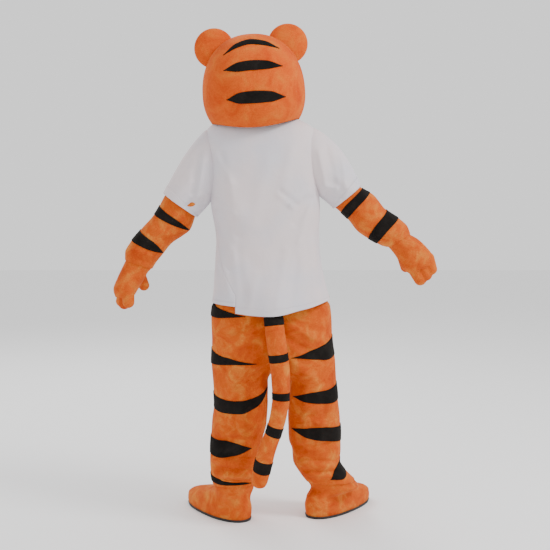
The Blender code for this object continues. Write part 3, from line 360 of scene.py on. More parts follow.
# Gloves: sections as for the arms, below the cuff that the arm's end closes on, then fingers as
# base, tip and radius, thumb last.
CUFF_SLACK = 0.010
PALM_END = 5
PALMS = {
    "left": [
        (2, 0.534, -0.505, 0.437, -0.524, -0.025, 0.050),
        (3, 0.553, -0.545, 0.452, -0.552, -0.027, 0.058),
        (4, 0.569, -0.588, 0.472, -0.584, -0.029, 0.064),
        (5, 0.562, -0.618, 0.490, -0.614, -0.030, 0.050),
    ],
    "right": [
        (2, 0.590, -0.394, 0.498, -0.446, -0.028, 0.045),
        (3, 0.624, -0.424, 0.514, -0.468, -0.030, 0.040),
        (4, 0.654, -0.466, 0.532, -0.504, -0.032, 0.038),
        (5, 0.650, -0.492, 0.560, -0.528, -0.034, 0.030),
    ],
}
FINGERS = {
    "left": (
        (0.536, -0.082, -0.590, 0.548, -0.100, -0.642, 0.0225),
        (0.524, -0.036, -0.600, 0.530, -0.046, -0.644, 0.0245),
        (0.508, 0.010, -0.590, 0.508, 0.008, -0.634, 0.0235),
        (0.470, -0.080, -0.545, 0.462, -0.116, -0.582, 0.0215),
    ),
    "right": (
        (0.636, -0.034, -0.470, 0.648, -0.038, -0.512, 0.0225),
        (0.612, -0.036, -0.492, 0.628, -0.042, -0.534, 0.0240),
        (0.574, -0.036, -0.500, 0.606, -0.044, -0.552, 0.0245),
        (0.540, -0.054, -0.468, 0.556, -0.096, -0.508, 0.0215),
    ),
}

CREASE_GAIN = 1.9

# Small creases for the looks alone, in the same columns as the large folds.
SHIRT_CREASES = [
    (0.196, -0.030, 0.118, -0.180, 0.014, 0.0040),
    (0.150, -0.080, 0.106, -0.330, 0.016, -0.0030),
    (0.118, -0.180, 0.100, -0.470, 0.018, 0.0035),
    (0.170, -0.250, 0.100, -0.300, 0.010, 0.0035),
    (0.172, -0.275, 0.090, -0.370, 0.012, -0.0030),
    (0.168, -0.300, 0.120, -0.420, 0.012, 0.0030),
    (-0.176, -0.215, -0.108, -0.262, 0.010, 0.0035),
    (-0.186, -0.240, -0.122, -0.330, 0.012, -0.0032),
    (-0.180, -0.262, -0.140, -0.400, 0.014, 0.0030),
    (-0.070, -0.212, -0.130, -0.262, 0.008, -0.0030),
    (-0.060, -0.225, -0.118, -0.276, 0.008, 0.0024),
    (0.150, -0.470, 0.120, -0.600, 0.014, 0.0040),
    (0.172, -0.440, 0.150, -0.560, 0.012, -0.0034),
    (0.094, -0.420, 0.060, -0.610, 0.016, -0.0028),
    (0.130, -0.512, 0.168, -0.478, 0.008, 0.0034),
    (0.020, -0.520, 0.050, -0.640, 0.018, 0.0030),
    (-0.090, -0.430, -0.060, -0.620, 0.016, 0.0030),
    (-0.130, -0.460, -0.110, -0.610, 0.014, -0.0030),
    (-0.190, -0.400, -0.200, -0.600, 0.014, 0.0036),
    (-0.215, -0.480, -0.232, -0.610, 0.012, -0.0030),
    (-0.020, -0.100, 0.030, -0.330, 0.026, 0.0022),
    (-0.110, -0.060, -0.080, -0.200, 0.020, 0.0024),
]
SLEEVE_CREASES = [
    (0.214, -0.086, 0.236, -0.238, 0.012, 0.0036),
    (0.236, -0.070, 0.262, -0.262, 0.014, -0.0030),
    (0.204, -0.226, 0.262, -0.236, 0.010, 0.0038),
    (0.216, -0.256, 0.284, -0.270, 0.010, -0.0036),
    (0.262, -0.180, 0.352, -0.262, 0.016, 0.0030),
    (0.270, -0.110, 0.340, -0.200, 0.018, -0.0026),
    (-0.212, -0.070, -0.236, -0.196, 0.012, 0.0036),
    (-0.240, -0.050, -0.270, -0.180, 0.014, -0.0030),
    (-0.222, -0.196, -0.276, -0.204, 0.010, 0.0038),
    (-0.240, -0.226, -0.300, -0.238, 0.010, -0.0036),
    (-0.300, -0.080, -0.312, -0.200, 0.012, 0.0036),
    (-0.262, -0.150, -0.360, -0.232, 0.016, 0.0026),
]
ARM_CREASES = [
    (0.270, -0.330, 0.400, -0.276, 0.010, 0.0050),
    (0.300, -0.352, 0.420, -0.306, 0.009, -0.0045),
    (0.326, -0.392, 0.450, -0.340, 0.012, 0.0045),
    (0.370, -0.440, 0.500, -0.392, 0.010, -0.0045),
    (0.384, -0.468, 0.516, -0.424, 0.010, 0.0060),
    (0.404, -0.492, 0.522, -0.452, 0.008, -0.0050),
    (-0.300, -0.292, -0.410, -0.214, 0.010, 0.0050),
    (-0.332, -0.330, -0.440, -0.246, 0.010, -0.0045),
    (-0.372, -0.366, -0.470, -0.282, 0.012, 0.0045),
    (-0.420, -0.396, -0.520, -0.318, 0.010, -0.0045),
    (-0.440, -0.412, -0.548, -0.340, 0.010, 0.0060),
    (-0.464, -0.424, -0.560, -0.362, 0.008, -0.0050),
]
LEG_CREASES = [
    (-0.010, -0.700, 0.110, -0.760, 0.014, 0.0050),
    (-0.020, -0.740, 0.130, -0.840, 0.014, -0.0045),
    (-0.030, -0.800, 0.120, -0.900, 0.016, 0.0050),
    (-0.020, -0.860, 0.090, -0.940, 0.012, -0.0045),
    (0.000, -0.960, 0.080, -1.040, 0.014, 0.0040),
    (0.120, -0.700, 0.185, -0.760, 0.016, 0.0035),
    (0.020, -1.090, 0.150, -1.130, 0.012, 0.0050),
    (0.040, -1.150, 0.190, -1.140, 0.014, -0.0040),
    (0.020, -1.226, 0.190, -1.206, 0.010, -0.0050),
    (0.010, -1.272, 0.195, -1.252, 0.010, -0.0055),
    (0.020, -1.292, 0.190, -1.280, 0.011, 0.0060),
    (0.030, -1.314, 0.185, -1.306, 0.008, -0.0040),
    (0.070, -1.000, 0.075, -1.200, 0.016, 0.0040),
    (0.130, -1.010, 0.140, -1.230, 0.018, -0.0035),
    (-0.080, -0.690, -0.200, -0.760, 0.014, 0.0050),
    (-0.070, -0.740, -0.210, -0.830, 0.014, -0.0045),
    (-0.060, -0.800, -0.180, -0.900, 0.016, 0.0050),
    (-0.070, -0.850, -0.150, -0.940, 0.012, -0.0045),
    (-0.110, -0.960, -0.190, -1.030, 0.014, 0.0040),
    (-0.110, -1.050, -0.230, -1.090, 0.012, 0.0045),
    (-0.130, -1.180, -0.290, -1.170, 0.012, -0.0045),
    (-0.130, -1.232, -0.300, -1.244, 0.009, -0.0055),
    (-0.135, -1.272, -0.315, -1.286, 0.010, -0.0055),
    (-0.150, -1.290, -0.330, -1.304, 0.011, 0.0060),
    (-0.160, -0.990, -0.165, -1.180, 0.016, 0.0040),
    (-0.230, -1.000, -0.250, -1.200, 0.018, -0.0035),
]

def superellipse(angle, power):
    """Unit ring of the given squareness: power 2 is a circle."""
    across = np.cos(angle)
    deep = np.sin(angle)
    return (np.sign(across) * np.abs(across) ** (2 / power),
            np.sign(deep) * np.abs(deep) ** (2 / power))


def smooth_step(x):
    t = np.clip(x, 0.0, 1.0)
    return t * t * (3 - 2 * t)


def stack(x, y, z):
    return np.stack(np.broadcast_arrays(x, y, z), axis=-1)


def raw_normal(surface, u, v):
    step = 0.0015
    return np.cross(surface(u + step, v) - surface(u - step, v),
                    surface(u, v + step) - surface(u, v - step))


def outward(surface, u, v):
    """Unit normals of a surface, turned away from its own middle."""
    margin = 0.003
    v = np.clip(v, margin, 1 - margin)
    normal = raw_normal(surface, u, v)
    length = np.linalg.norm(normal, axis=-1, keepdims=True)
    nearby = raw_normal(surface, np.clip(u, margin, 1 - margin), v)
    normal = np.where(length > 1e-12, normal, nearby)
    normal /= np.linalg.norm(normal, axis=-1, keepdims=True)
    ring = surface(np.linspace(0, 1, 9), np.full(9, 0.5))
    probe = np.dot(raw_normal(surface, 0.5, 0.5), surface(0.5, 0.5) - ring.mean(axis=0))
    return -normal if probe < 0 else normal


def fold_height(folds, points, face):
    """Height of the folds over points; face is +1 for folds at the back, -1 at the front."""
    height = np.zeros(points.shape[:-1])
    for row in folds:
        fold = SimpleNamespace(**dict(zip(FOLD_COLUMNS, row)))
        line = np.array((fold.x1 - fold.x0, fold.z1 - fold.z0))
        away = points[..., (0, 2)] - np.array((fold.x0, fold.z0))
        along = np.clip(away @ line / (line @ line), 0.0, 1.0)
        distance = np.linalg.norm(away - along[..., None] * line, axis=-1)
        height += fold.height * np.exp(-(distance / fold.width) ** 2)
    return height * smooth_step(face * points[..., 1] / 0.06)


def folded(surface, folds, face=1):
    def with_folds(u, v):
        points = surface(u, v)
        height = fold_height(folds, points, face)
        return points + height[..., None] * stack(0.0 * height, face + 0.0 * height, 0.0 * height)
    return with_folds


def grid_mesh(surface, columns, rows, distance):
    """A surface's facets, every quad split the same way, each vertex keeping its place u and v."""
    mesh = bmesh.new()
    bmesh.ops.create_grid(mesh, x_segments=columns, y_segments=rows, size=0.5)
    across = mesh.verts.layers.float.new("across")
    up = mesh.verts.layers.float.new("up")
    for vert in mesh.verts:
        vert[across] = vert.co.x + 0.5
        vert[up] = vert.co.y + 0.5
    bmesh.ops.triangulate(mesh, faces=mesh.faces, quad_method="FIXED")
    move_to(mesh, mesh.verts, surface, distance)
    bmesh.ops.remove_doubles(mesh, verts=mesh.verts, dist=WELD)
    return mesh


def move_to(mesh, verts, surface, distance):
    verts = list(verts)
    across = mesh.verts.layers.float["across"]
    up = mesh.verts.layers.float["up"]
    u = np.array([vert[across] for vert in verts])
    v = np.array([vert[up] for vert in verts])
    points = surface(u, v) + distance * outward(surface, u, v)
    for vert, point in zip(verts, points):
        vert.co = point


def wall_mesh(surface, grid, outer, inner):
    """Closed wall between two distances from a surface, positive outwards."""
    mesh = grid_mesh(surface, *grid, outer)
    wall = bmesh.ops.extrude_face_region(mesh, geom=mesh.faces[:], use_keep_orig=True)
    back = [item for item in wall["geom"] if isinstance(item, bmesh.types.BMVert)]
    move_to(mesh, back, surface, inner)
    bmesh.ops.recalc_face_normals(mesh, faces=mesh.faces)
    return mesh


def filled_mesh(surface, grid, distance):
    """Closed solid inside a tube, capped flat at its open ends."""
    mesh = grid_mesh(surface, *grid, distance)
    bmesh.ops.holes_fill(mesh, edges=[edge for edge in mesh.edges if edge.is_boundary], sides=0)
    bmesh.ops.recalc_face_normals(mesh, faces=mesh.faces)
    return mesh


def transformed(surface, matrix):
    turn = np.array(matrix.to_3x3())
    shift = np.array(matrix.translation)

    def moved(u, v):
        return surface(u, v) @ turn.T + shift
    return moved


def mirrored(surface, side):
    """A surface measured towards its own side, put on the wearer's left or right."""
    flip = np.array((1.0 if side == "left" else -1.0, 1.0, 1.0))

    def on_side(u, v):
        return surface(u, v) * flip
    return on_side


def body_ring(angle, z, inset=0.0):
    row = SHIRT.at(z)
    across, deep = superellipse(angle, BODY_SQUARE)
    y = (row.back + row.front) / 2 + ((row.back - row.front) / 2 - inset) * deep
    return stack(row.middle + (row.half - inset) * across, y, z)


def neck_height(angle):
    dip = np.where(np.sin(angle) > 0, NECK_DIP_BACK, NECK_DIP_FRONT)
    return NECK_TOP - dip * np.sin(angle) ** 2


def shirt_surface(seam_angles, hem):
    """One T-shirt panel between two seams, its rows closing up towards the shoulders.

    The lowest row is the panel's own hem below the side slits; above it both panels share rows.
    """
    lowest = 1 / BODY_ROWS

    def shirt(u, v):
        below = (1 - np.maximum(v, lowest)) / (1 - lowest)
        guess = NECK_TOP + (SLIT_TOP - NECK_TOP) * below ** ROW_CROWDING
        twist = np.clip((ARMPIT - guess) / (ARMPIT - SLIT_TOP), 0.0, 1.0) ** 1.3
        first, last = seam_angles(twist)
        angle = first + (last - first) * u
        top = neck_height(angle)
        z = top + (SLIT_TOP - top) * below ** ROW_CROWDING
        z = z + (hem.at(u).z - SLIT_TOP) * np.clip(1 - v / lowest, 0.0, 1.0)
        return body_ring(angle, z)
    return folded(shirt, SHIRT_FOLDS)


def seam_slip():
    """A seam's gap as an angle on a ring of the shirt's size, for each panel's edge."""
    return SEAM / SHIRT.at(WAIST).half


def back_seams(twist):
    return HEM_TWIST[0] * twist + seam_slip(), math.pi + HEM_TWIST[1] * twist - seam_slip()


def front_seams(twist):
    return (math.pi + HEM_TWIST[1] * twist + seam_slip(),
            2 * math.pi + HEM_TWIST[0] * twist - seam_slip())


def limb_surface(table, first, last, square=LIMB_SQUARE):
    """A sleeve-like tube through edge points; it starts at its outer edge and turns backwards."""
    def limb(u, v):
        row = table.at(first + (last - first) * v)
        across, deep = superellipse(2 * math.pi * u, square)
        x = (row.outer_x + row.inner_x) / 2 + (row.outer_x - row.inner_x) / 2 * across
        z = (row.outer_z + row.inner_z) / 2 + (row.outer_z - row.inner_z) / 2 * across
        return stack(x, row.y + row.depth * deep, z)
    return limb


def leg_table(side):
    """The leg's sections with the torso's own ring as the last one, at the waist."""
    row = SHIRT.at(WAIST)
    inset = float(TORSO_INSET.at(WAIST).inset)
    middle = float(row.middle) * (1 if side == "left" else -1)
    half = float(row.half) - inset
    waist = (WAIST, middle + half, middle - half, float(row.back) - inset, float(row.front) + inset)
    return Table(LEG_COLUMNS, LEGS[side] + [waist])


def leg_ring(side, table, u, z, inset=0.0):
    """Ring of a leg from the front centre round the outside to the back centre."""
    row = table.at(z)
    plane = CENTRE.at(np.clip(z, -0.900, WAIST)).x * (1 if side == "left" else -1) + SEAM / 2
    middle = np.maximum((row.outer + row.inner) / 2, plane)
    half = row.outer - middle
    reach = np.clip((middle - plane) / half, 0.0, 1.0)
    turn = math.pi - np.arccos(reach ** (BODY_SQUARE / 2))
    across, deep = superellipse((2 * u - 1) * turn, BODY_SQUARE)
    y = (row.back + row.front) / 2 + ((row.back - row.front) / 2 - inset) * deep
    return stack(middle + (half - inset) * across, y, z)


def collar_ring(side, table, u, z):
    """Inside of the trouser leg's lowest row of facets, where the shoe cover's collar sits."""
    facet = (WAIST - TROUSER_HEM) / LEG_ROWS
    inset = FOOT_PLACES[side].inset
    low = leg_ring(side, table, u, TROUSER_HEM, inset)
    high = leg_ring(side, table, u, TROUSER_HEM + facet, inset)
    return low + (high - low) * ((z - TROUSER_HEM) / facet)[..., None]


def leg_sections(side):
    table = leg_table(side)

    def leg(u, v):
        z = TROUSER_HEM + (WAIST - SEAM / 2 - TROUSER_HEM) * v
        return leg_ring(side, table, u, z)
    return leg


def leg_surface(side):
    return folded(mirrored(leg_sections(side), side), LEG_FOLDS)


def tail_surface(first, last):
    def tail(u, v):
        at = first + (last - first) * v
        row = TAIL.at(at)
        ahead = TAIL.at(at + 0.01)
        path = stack(ahead.x - row.x, ahead.y - row.y, ahead.z - row.z)
        path /= np.linalg.norm(path, axis=-1, keepdims=True)
        side = np.cross(path, np.array((1.0, 0.0, 0.0)))
        side /= np.linalg.norm(side, axis=-1, keepdims=True)
        across = np.cross(side, path)
        angle = 2 * math.pi * np.asarray(u)[..., None]
        ring = across * np.cos(angle) + side * np.sin(angle)
        return stack(row.x, row.y, row.z) + row.radius[..., None] * ring
    return tail


def rounded_tip(surface, share):
    """Closes a tube's far end: the last share of it shrinks to a point as a half ball does."""
    def rounded(u, v):
        over = np.clip((v - (1 - share)) / share, 0.0, 1.0)
        middle = (surface(0.0 * u, v) + surface(0.0 * u + 0.5, v)) / 2
        shrink = np.sqrt(np.maximum(1 - over ** 2, 0.0))
        return middle + (surface(u, v) - middle) * shrink[..., None]
    return rounded


def foot_surface(side, low, high, lip=0.0):
    """A shoe cover from height low to high; its collar becomes the inside of the trouser leg."""
    place = FOOT_PLACES[side]
    table = leg_table(side)
    forward = np.array((math.sin(place.turn), -math.cos(place.turn)))
    sideways = np.array((math.cos(place.turn), math.sin(place.turn)))
    start = math.atan2(forward[1], forward[0])

    def foot(u, v):
        height = low + (high - low) * np.asarray(v) + 0.0 * np.asarray(u)
        row = FOOT.at(height)
        angle = (2 * np.asarray(u) - 1) * math.pi
        along, across = superellipse(angle - start, FOOT_SQUARE)
        reach = (row.toe + row.heel) / 2 + ((row.toe - row.heel) / 2 + lip) * along
        spread = (row.half + lip) * across
        x = place.heel_x + reach * forward[0] + spread * sideways[0]
        y = place.heel_y + reach * forward[1] + spread * sideways[1]
        shoe = stack(x, y, FLOOR + height)
        collar = collar_ring(side, table, u, FLOOR + height)
        share = smooth_step((height - COLLAR_LOW) / (COLLAR_HIGH - COLLAR_LOW))[..., None]
        return shoe * (1 - share) + collar * share
    return mirrored(foot, side)


def head_matrix():
    turn = Matrix.Rotation(HEAD_LEAN, 4, "Y")
    return Matrix.Translation(HEAD_CENTRE) @ turn


def head_surface(first, last, slip=0.0):
    """Part of the head's dome between two angles, from the rim up to the crown."""
    def head(u, v):
        angle = first + (last - first) * np.asarray(u) + 0.0 * np.asarray(v)
        low = np.where(np.sin(angle) > 0, RIM_BACK, RIM_FRONT)
        rim = RIM_SIDE + (low - RIM_SIDE) * np.sin(angle) ** 2 - HEAD_CENTRE[2]
        start = -np.arcsin(np.abs(rim / HEAD_DOWN) ** (HEAD_SQUARE / 2))
        rise = start + (math.pi / 2 - start) * v
        out, up = superellipse(rise, HEAD_SQUARE)
        out = np.maximum(out, 0.0)
        across, deep = superellipse(angle, HEAD_SQUARE)
        tall = np.where(up > 0, HEAD_UP, HEAD_DOWN)
        return stack(HEAD_HALF * across * out, HEAD_DEPTH * deep * out + slip, tall * up)
    return transformed(head, head_matrix())


def ball_mesh(centre, radii, segments=14, rings=8):
    mesh = bmesh.new()
    bmesh.ops.create_uvsphere(mesh, u_segments=segments, v_segments=rings, radius=1.0)
    bmesh.ops.scale(mesh, vec=radii, verts=mesh.verts)
    bmesh.ops.translate(mesh, vec=centre, verts=mesh.verts)
    return mesh


def finger_mesh(side, row, inset):
    """A ball drawn out from a finger's base to its tip."""
    base = np.array(row[0:3])
    tip = np.array(row[3:6])
    radius = row[6] - inset
    mesh = bmesh.new()
    bmesh.ops.create_uvsphere(mesh, u_segments=7, v_segments=5, radius=radius)
    length = np.linalg.norm(tip - base)
    for vert in mesh.verts:
        if vert.co.z > radius * 0.2:
            vert.co.z += length
    direction = Vector(tip - base)
    bmesh.ops.transform(mesh, matrix=direction.to_track_quat("Z", "Y").to_matrix().to_4x4(),
                        verts=mesh.verts)
    bmesh.ops.translate(mesh, vec=base, verts=mesh.verts)
    if side == "right":
        bmesh.ops.scale(mesh, vec=(-1, 1, 1), verts=mesh.verts)
    bmesh.ops.recalc_face_normals(mesh, faces=mesh.faces)
    return mesh


def cuff_row(side, number, row, inset):
    """A ring of the arm, moved inwards: where the glove passes up inside the arm's end."""
    ring = ARMS[side].at(row)
    across = np.array((ring.outer_x - ring.inner_x, ring.outer_z - ring.inner_z))
    across *= inset / np.linalg.norm(across)
    return (number, ring.outer_x - across[0], ring.outer_z - across[1],
            ring.inner_x + across[0], ring.inner_z + across[1], ring.y, ring.depth - inset)


def palm_table(side):
    cuff = [cuff_row(side, 0, ARM_END - 1, CUFF_SLACK), cuff_row(side, 1, ARM_END, PLUSH + SLIDE)]
    return Table(EDGES, cuff + PALMS[side])


MATERIALS = {}


def hex_colour(code):
    """An sRGB hex colour as linear red, green, blue and alpha."""
    channels = [int(code[n:n + 2], 16) / 255 for n in (0, 2, 4)]
    linear = [c / 12.92 if c <= 0.04045 else ((c + 0.055) / 1.055) ** 2.4 for c in channels]
    return (*linear, 1.0)


def add_node(tree, kind, values=None, links=None, **settings):
    """A shader node with its settings, its input values and its links: input to (node, output)."""
    node = tree.nodes.new(kind)
    for key, value in settings.items():
        setattr(node, key, value)
    for key, value in (values or {}).items():
        node.inputs[key].default_value = value
    for key, (other, output) in (links or {}).items():
        tree.links.new(other.outputs[output], node.inputs[key])
    return node


def new_material(name):
    made = bpy.data.materials.new(name)
    made.use_nodes = True
    MATERIALS[name] = made
    return made.node_tree, made.node_tree.nodes["Principled BSDF"]


def mapped_noise(tree, scale, detail=3.0, rough=0.55, distortion=0.0):
    """Noise in the object's own metres: scale is how many grains there are to a metre."""
    place = add_node(tree, "ShaderNodeTexCoord")
    return add_node(tree, "ShaderNodeTexNoise", {
        "Scale": scale, "Detail": detail, "Roughness": rough, "Distortion": distortion,
    }, {"Vector": (place, "Object")})


def ramp(tree, source, stops):
    node = add_node(tree, "ShaderNodeValToRGB", None, {"Fac": source})
    for number, (place, code) in enumerate(stops):
        if number < 2:
            stop = node.color_ramp.elements[number]
            stop.position = place
        else:
            stop = node.color_ramp.elements.new(place)
        stop.color = hex_colour(code)
    return node


def blend_colours(tree, kind, share, first, second):
    """Mixes two colour outputs; share is a number or an output."""
    node = add_node(tree, "ShaderNodeMix", data_type="RGBA", blend_type=kind)
    if isinstance(share, float):
        node.inputs[0].default_value = share
    else:
        tree.links.new(share[0].outputs[share[1]], node.inputs[0])
    tree.links.new(first[0].outputs[first[1]], node.inputs[6])
    tree.links.new(second[0].outputs[second[1]], node.inputs[7])
    return node


def plush(name, stops, sheen, sheen_code, patch_scale=17.0):
    """Short-pile plush: nap brushed in patches of 30 to 80 mm, with 2 mm tufts."""
    tree, shader = new_material(name)
    patches = mapped_noise(tree, patch_scale, 4.0, 0.62, 0.5)
    base = ramp(tree, (patches, "Fac"), stops)
    tufts = mapped_noise(tree, 420.0, 2.0, 0.6)
    shade = ramp(tree, (tufts, "Fac"), ((0.30, "a8a8a8"), (0.72, "ffffff")))
    colour = blend_colours(tree, "MULTIPLY", 0.55, (base, "Color"), (shade, "Color"))
    tree.links.new(colour.outputs[2], shader.inputs["Base Color"])
    lie = mapped_noise(tree, 60.0, 3.0, 0.6, 0.4)
    soft = add_node(tree, "ShaderNodeBump", {"Strength": 0.35, "Distance": 0.004}, {"Height": (lie, "Fac")})
    pile = add_node(tree, "ShaderNodeBump", {"Strength": 0.6, "Distance": 0.0012},
                    {"Height": (tufts, "Fac"), "Normal": (soft, "Normal")})
    tree.links.new(pile.outputs["Normal"], shader.inputs["Normal"])
    shader.inputs["Roughness"].default_value = 0.95
    shader.inputs["Specular IOR Level"].default_value = 0.1
    shader.inputs["Sheen Weight"].default_value = sheen
    shader.inputs["Sheen Roughness"].default_value = 0.45
    shader.inputs["Sheen Tint"].default_value = hex_colour(sheen_code)


def jersey(name):
    """White T-shirt jersey, slightly pink and blue in places, with a fine knit of 1.2 mm."""
    tree, shader = new_material(name)
    tint = mapped_noise(tree, 5.0, 2.0, 0.5, 0.2)
    base = ramp(tree, (tint, "Fac"), ((0.36, "cfcbd2"), (0.64, "dccfd0")))
    place = add_node(tree, "ShaderNodeTexCoord")
    knit = add_node(tree, "ShaderNodeTexWave", {"Scale": 260.0, "Distortion": 1.2, "Detail": 1.0},
                    {"Vector": (place, "Object")}, wave_type="BANDS", bands_direction="X")
    thread = add_node(tree, "ShaderNodeBump", {"Strength": 0.10, "Distance": 0.0004}, {"Height": (knit, "Fac")})
    rumple = mapped_noise(tree, 22.0, 3.0, 0.5, 0.6)
    cloth = add_node(tree, "ShaderNodeBump", {"Strength": 0.35, "Distance": 0.005},
                     {"Height": (rumple, "Fac"), "Normal": (thread, "Normal")})
    tree.links.new(base.outputs["Color"], shader.inputs["Base Color"])
    tree.links.new(cloth.outputs["Normal"], shader.inputs["Normal"])
    shader.inputs["Roughness"].default_value = 0.88
    shader.inputs["Specular IOR Level"].default_value = 0.2
    shader.inputs["Sheen Weight"].default_value = 0.12


def plain(name, code, roughness, bump_scale=0.0, coat=0.0):
    tree, shader = new_material(name)
    shader.inputs["Base Color"].default_value = hex_colour(code)
    shader.inputs["Roughness"].default_value = roughness
    shader.inputs["Coat Weight"].default_value = coat
    if bump_scale:
        grain = mapped_noise(tree, bump_scale)
        bump = add_node(tree, "ShaderNodeBump", {"Strength": 0.4, "Distance": 0.0006}, {"Height": (grain, "Fac")})
        tree.links.new(bump.outputs["Normal"], shader.inputs["Normal"])


def make_materials():
    orange = ((0.30, "c4470f"), (0.50, "d9601a"), (0.70, "e58a35"))
    plush("orange_plush", orange, 0.35, "c98a52")
    plush("head_plush", ((0.32, "d24a0c"), (0.52, "e2611a"), (0.72, "e57a2a")), 0.45, "b8744a", 13.0)
    plush("black_plush", ((0.30, "141110"), (0.50, "1b1816"), (0.70, "24201e")), 0.10, "6a6058")
    plush("cream_plush", ((0.30, "e6d6b8"), (0.50, "eddfc4"), (0.70, "f4ead4")), 0.25, "ffffff")
    jersey("white_jersey")
    plain("white_felt", "ece9e4", 0.9, 900.0)
    plain("black_plastic", "0a0a0a", 0.12, 0.0, 0.6)
    plain("sole_rubber", "191716", 0.6, 700.0)


def add_mesh(name, mesh, finish, slot, *nodes):
    if nodes:
        name = "sewn_" + name
    data = bpy.data.meshes.new(name)
    mesh.to_mesh(data)
    mesh.free()
    data.shade_smooth()
    data.materials.append(MATERIALS[finish])
    made = bpy.data.objects.new(name, data)
    bpy.context.scene.collection.objects.link(made)
    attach(made, "root")
    if nodes:
        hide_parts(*nodes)
    return made


def wobble(surface, height, scale):
    """Small soft unevenness of a sewn, worn cloth."""
    def uneven(u, v):
        points = surface(u, v)
        flat = points.reshape(-1, 3)
        rise = np.array([noise.noise(Vector(point) * scale) for point in flat])
        away = flat - flat.mean(axis=0)
        away /= np.maximum(np.linalg.norm(away, axis=-1, keepdims=True), 1e-9)
        return (flat + height * rise[:, None] * away).reshape(points.shape)
    return uneven


def creased(surface, creases, gain=CREASE_GAIN):
    """Creases on both faces; the front, which the photo hides, has weaker ones of the same kind."""
    def with_creases(u, v):
        points = surface(u, v)
        back = gain * fold_height(creases, points, 1)
        front = 0.6 * gain * fold_height(creases, points, -1)
        return points + stack(0.0 * back, back - front, 0.0 * back)
    return with_creases


def add_cloth(name, surface, grid, outer, inner, finish, slot, *nodes):
    return add_mesh(name, wall_mesh(surface, grid, outer, inner), finish, slot, *nodes)


def part_of(surface, u0, u1, v0, v1):
    def cut(u, v):
        return surface(u0 + (u1 - u0) * np.asarray(u), v0 + (v1 - v0) * np.asarray(v))
    return cut


def lens(place, rows, tip=0.0008):
    """A stripe's patch: its outline's rows are along, middle and half width."""
    table = Table("at middle half", rows)
    first = rows[0][0]
    last = rows[-1][0]

    def outline(u, v):
        row = table.at(first + (last - first) * np.asarray(u) + 0.0 * np.asarray(v))
        half = np.maximum(row.half, tip)
        return place(row.at, row.middle + (2 * np.asarray(v) - 1) * half)
    return outline


def dome(face, slip=0.0):
    """The head's back (+1) or front (-1) over x and height, in the row frame."""
    matrix = head_matrix()
    turn = np.array(matrix.to_3x3())
    shift = np.array(matrix.translation)

    def place(x, z):
        tall = np.where(np.asarray(z) > 0, HEAD_UP, HEAD_DOWN)
        rest = (1 - np.abs(x / HEAD_HALF) ** HEAD_SQUARE - np.abs(z / tall) ** HEAD_SQUARE)
        y = face * (HEAD_DEPTH * np.maximum(rest, 0.0) ** (1 / HEAD_SQUARE) + slip)
        return stack(x, y, z) @ turn.T + shift
    return place


def add_stripe(name, surface, columns, slot="black_plush", rows=8, lift=0.0004, thick=APPLIQUE):
    return add_cloth(name, surface, (columns, rows), lift + thick, lift, slot, slot, name)


def make_head():
    for name, first, slip in (("head_back", 0.0, SEAM / 2), ("head_front", math.pi, -SEAM / 2)):
        shell = head_surface(first, first + math.pi, slip)
        shell = creased(shell, HEAD_SEAMS, 1.0)
        piece = add_cloth(name, shell, (80, 64), 0.0, -FOAM, "head_plush", "orange_plush", name)
    matrix = head_matrix()
    for side, centre in EARS.items():
        ear = ball_mesh((0, 0, 0), (EAR_RADIUS, EAR_THICK, EAR_RADIUS), 48, 32)
        for vert in ear.verts:
            dish = max(0.0, 1 - (vert.co.x ** 2 + vert.co.z ** 2) / (0.8 * EAR_RADIUS) ** 2)
            if vert.co.y < 0:
                vert.co.y += 0.022 * dish
        bmesh.ops.translate(ear, vec=centre, verts=ear.verts)
        bmesh.ops.transform(ear, matrix=matrix, verts=ear.verts)
        add_mesh("ear_" + side, ear, "head_plush", "orange_plush", "ear_" + side)
    muzzle = ball_mesh((0, 0, 0), (1, 1, 1), 64, 40)
    for vert in muzzle.verts:
        groove = math.exp(-(vert.co.x / 0.12) ** 2) * max(0.0, -vert.co.y) * 0.07
        vert.co *= 1 - groove * (1 if vert.co.z < 0.4 else 0.4)
        vert.co = Vector((vert.co.x * MUZZLE.half, vert.co.y * MUZZLE.deep, vert.co.z * MUZZLE.high))
    bmesh.ops.translate(muzzle, vec=(0, MUZZLE.y, MUZZLE.z), verts=muzzle.verts)
    bmesh.ops.transform(muzzle, matrix=matrix, verts=muzzle.verts)
    add_mesh("muzzle", muzzle, "cream_plush", "cream_plush", "muzzle")
    nose = ball_mesh((0, 0, 0), (1, 1, 1), 40, 24)
    for vert in nose.verts:
        vert.co.x *= 1.0 + 0.25 * vert.co.z
        vert.co = Vector((vert.co.x * NOSE.half * 0.85, vert.co.y * NOSE.deep, vert.co.z * NOSE.high))
    bmesh.ops.translate(nose, vec=(0, NOSE.y, NOSE.z), verts=nose.verts)
    bmesh.ops.transform(nose, matrix=matrix, verts=nose.verts)
    add_mesh("nose", nose, "black_plastic", "black_plastic", "nose")
    make_mouth()
    for side, sign in (("left", 1), ("right", -1)):
        for kind, spot, finish, lift in (("eye_white_", EYE, "white_felt", 0.0004),
                                         ("pupil_", PUPIL, "black_plastic", 0.0026)):
            add_cloth(kind + side, disc(sign * spot.x, spot), (10, 48), lift + APPLIQUE, lift,
                      finish, finish, kind + side)
    for table, face in ((BACK_STRIPES, 1), (FACE_STRIPES, -1)):
        for name, rows in table.items():
            add_stripe(name, lens(dome(face), rows), 40)


def disc(middle_x, spot):
    place = dome(-1)

    def round_patch(u, v):
        reach = 0.02 + 0.98 * np.asarray(u)
        angle = 2 * math.pi * np.asarray(v)
        return place(middle_x + spot.half * reach * np.cos(angle), spot.z + spot.high * reach * np.sin(angle))
    return round_patch


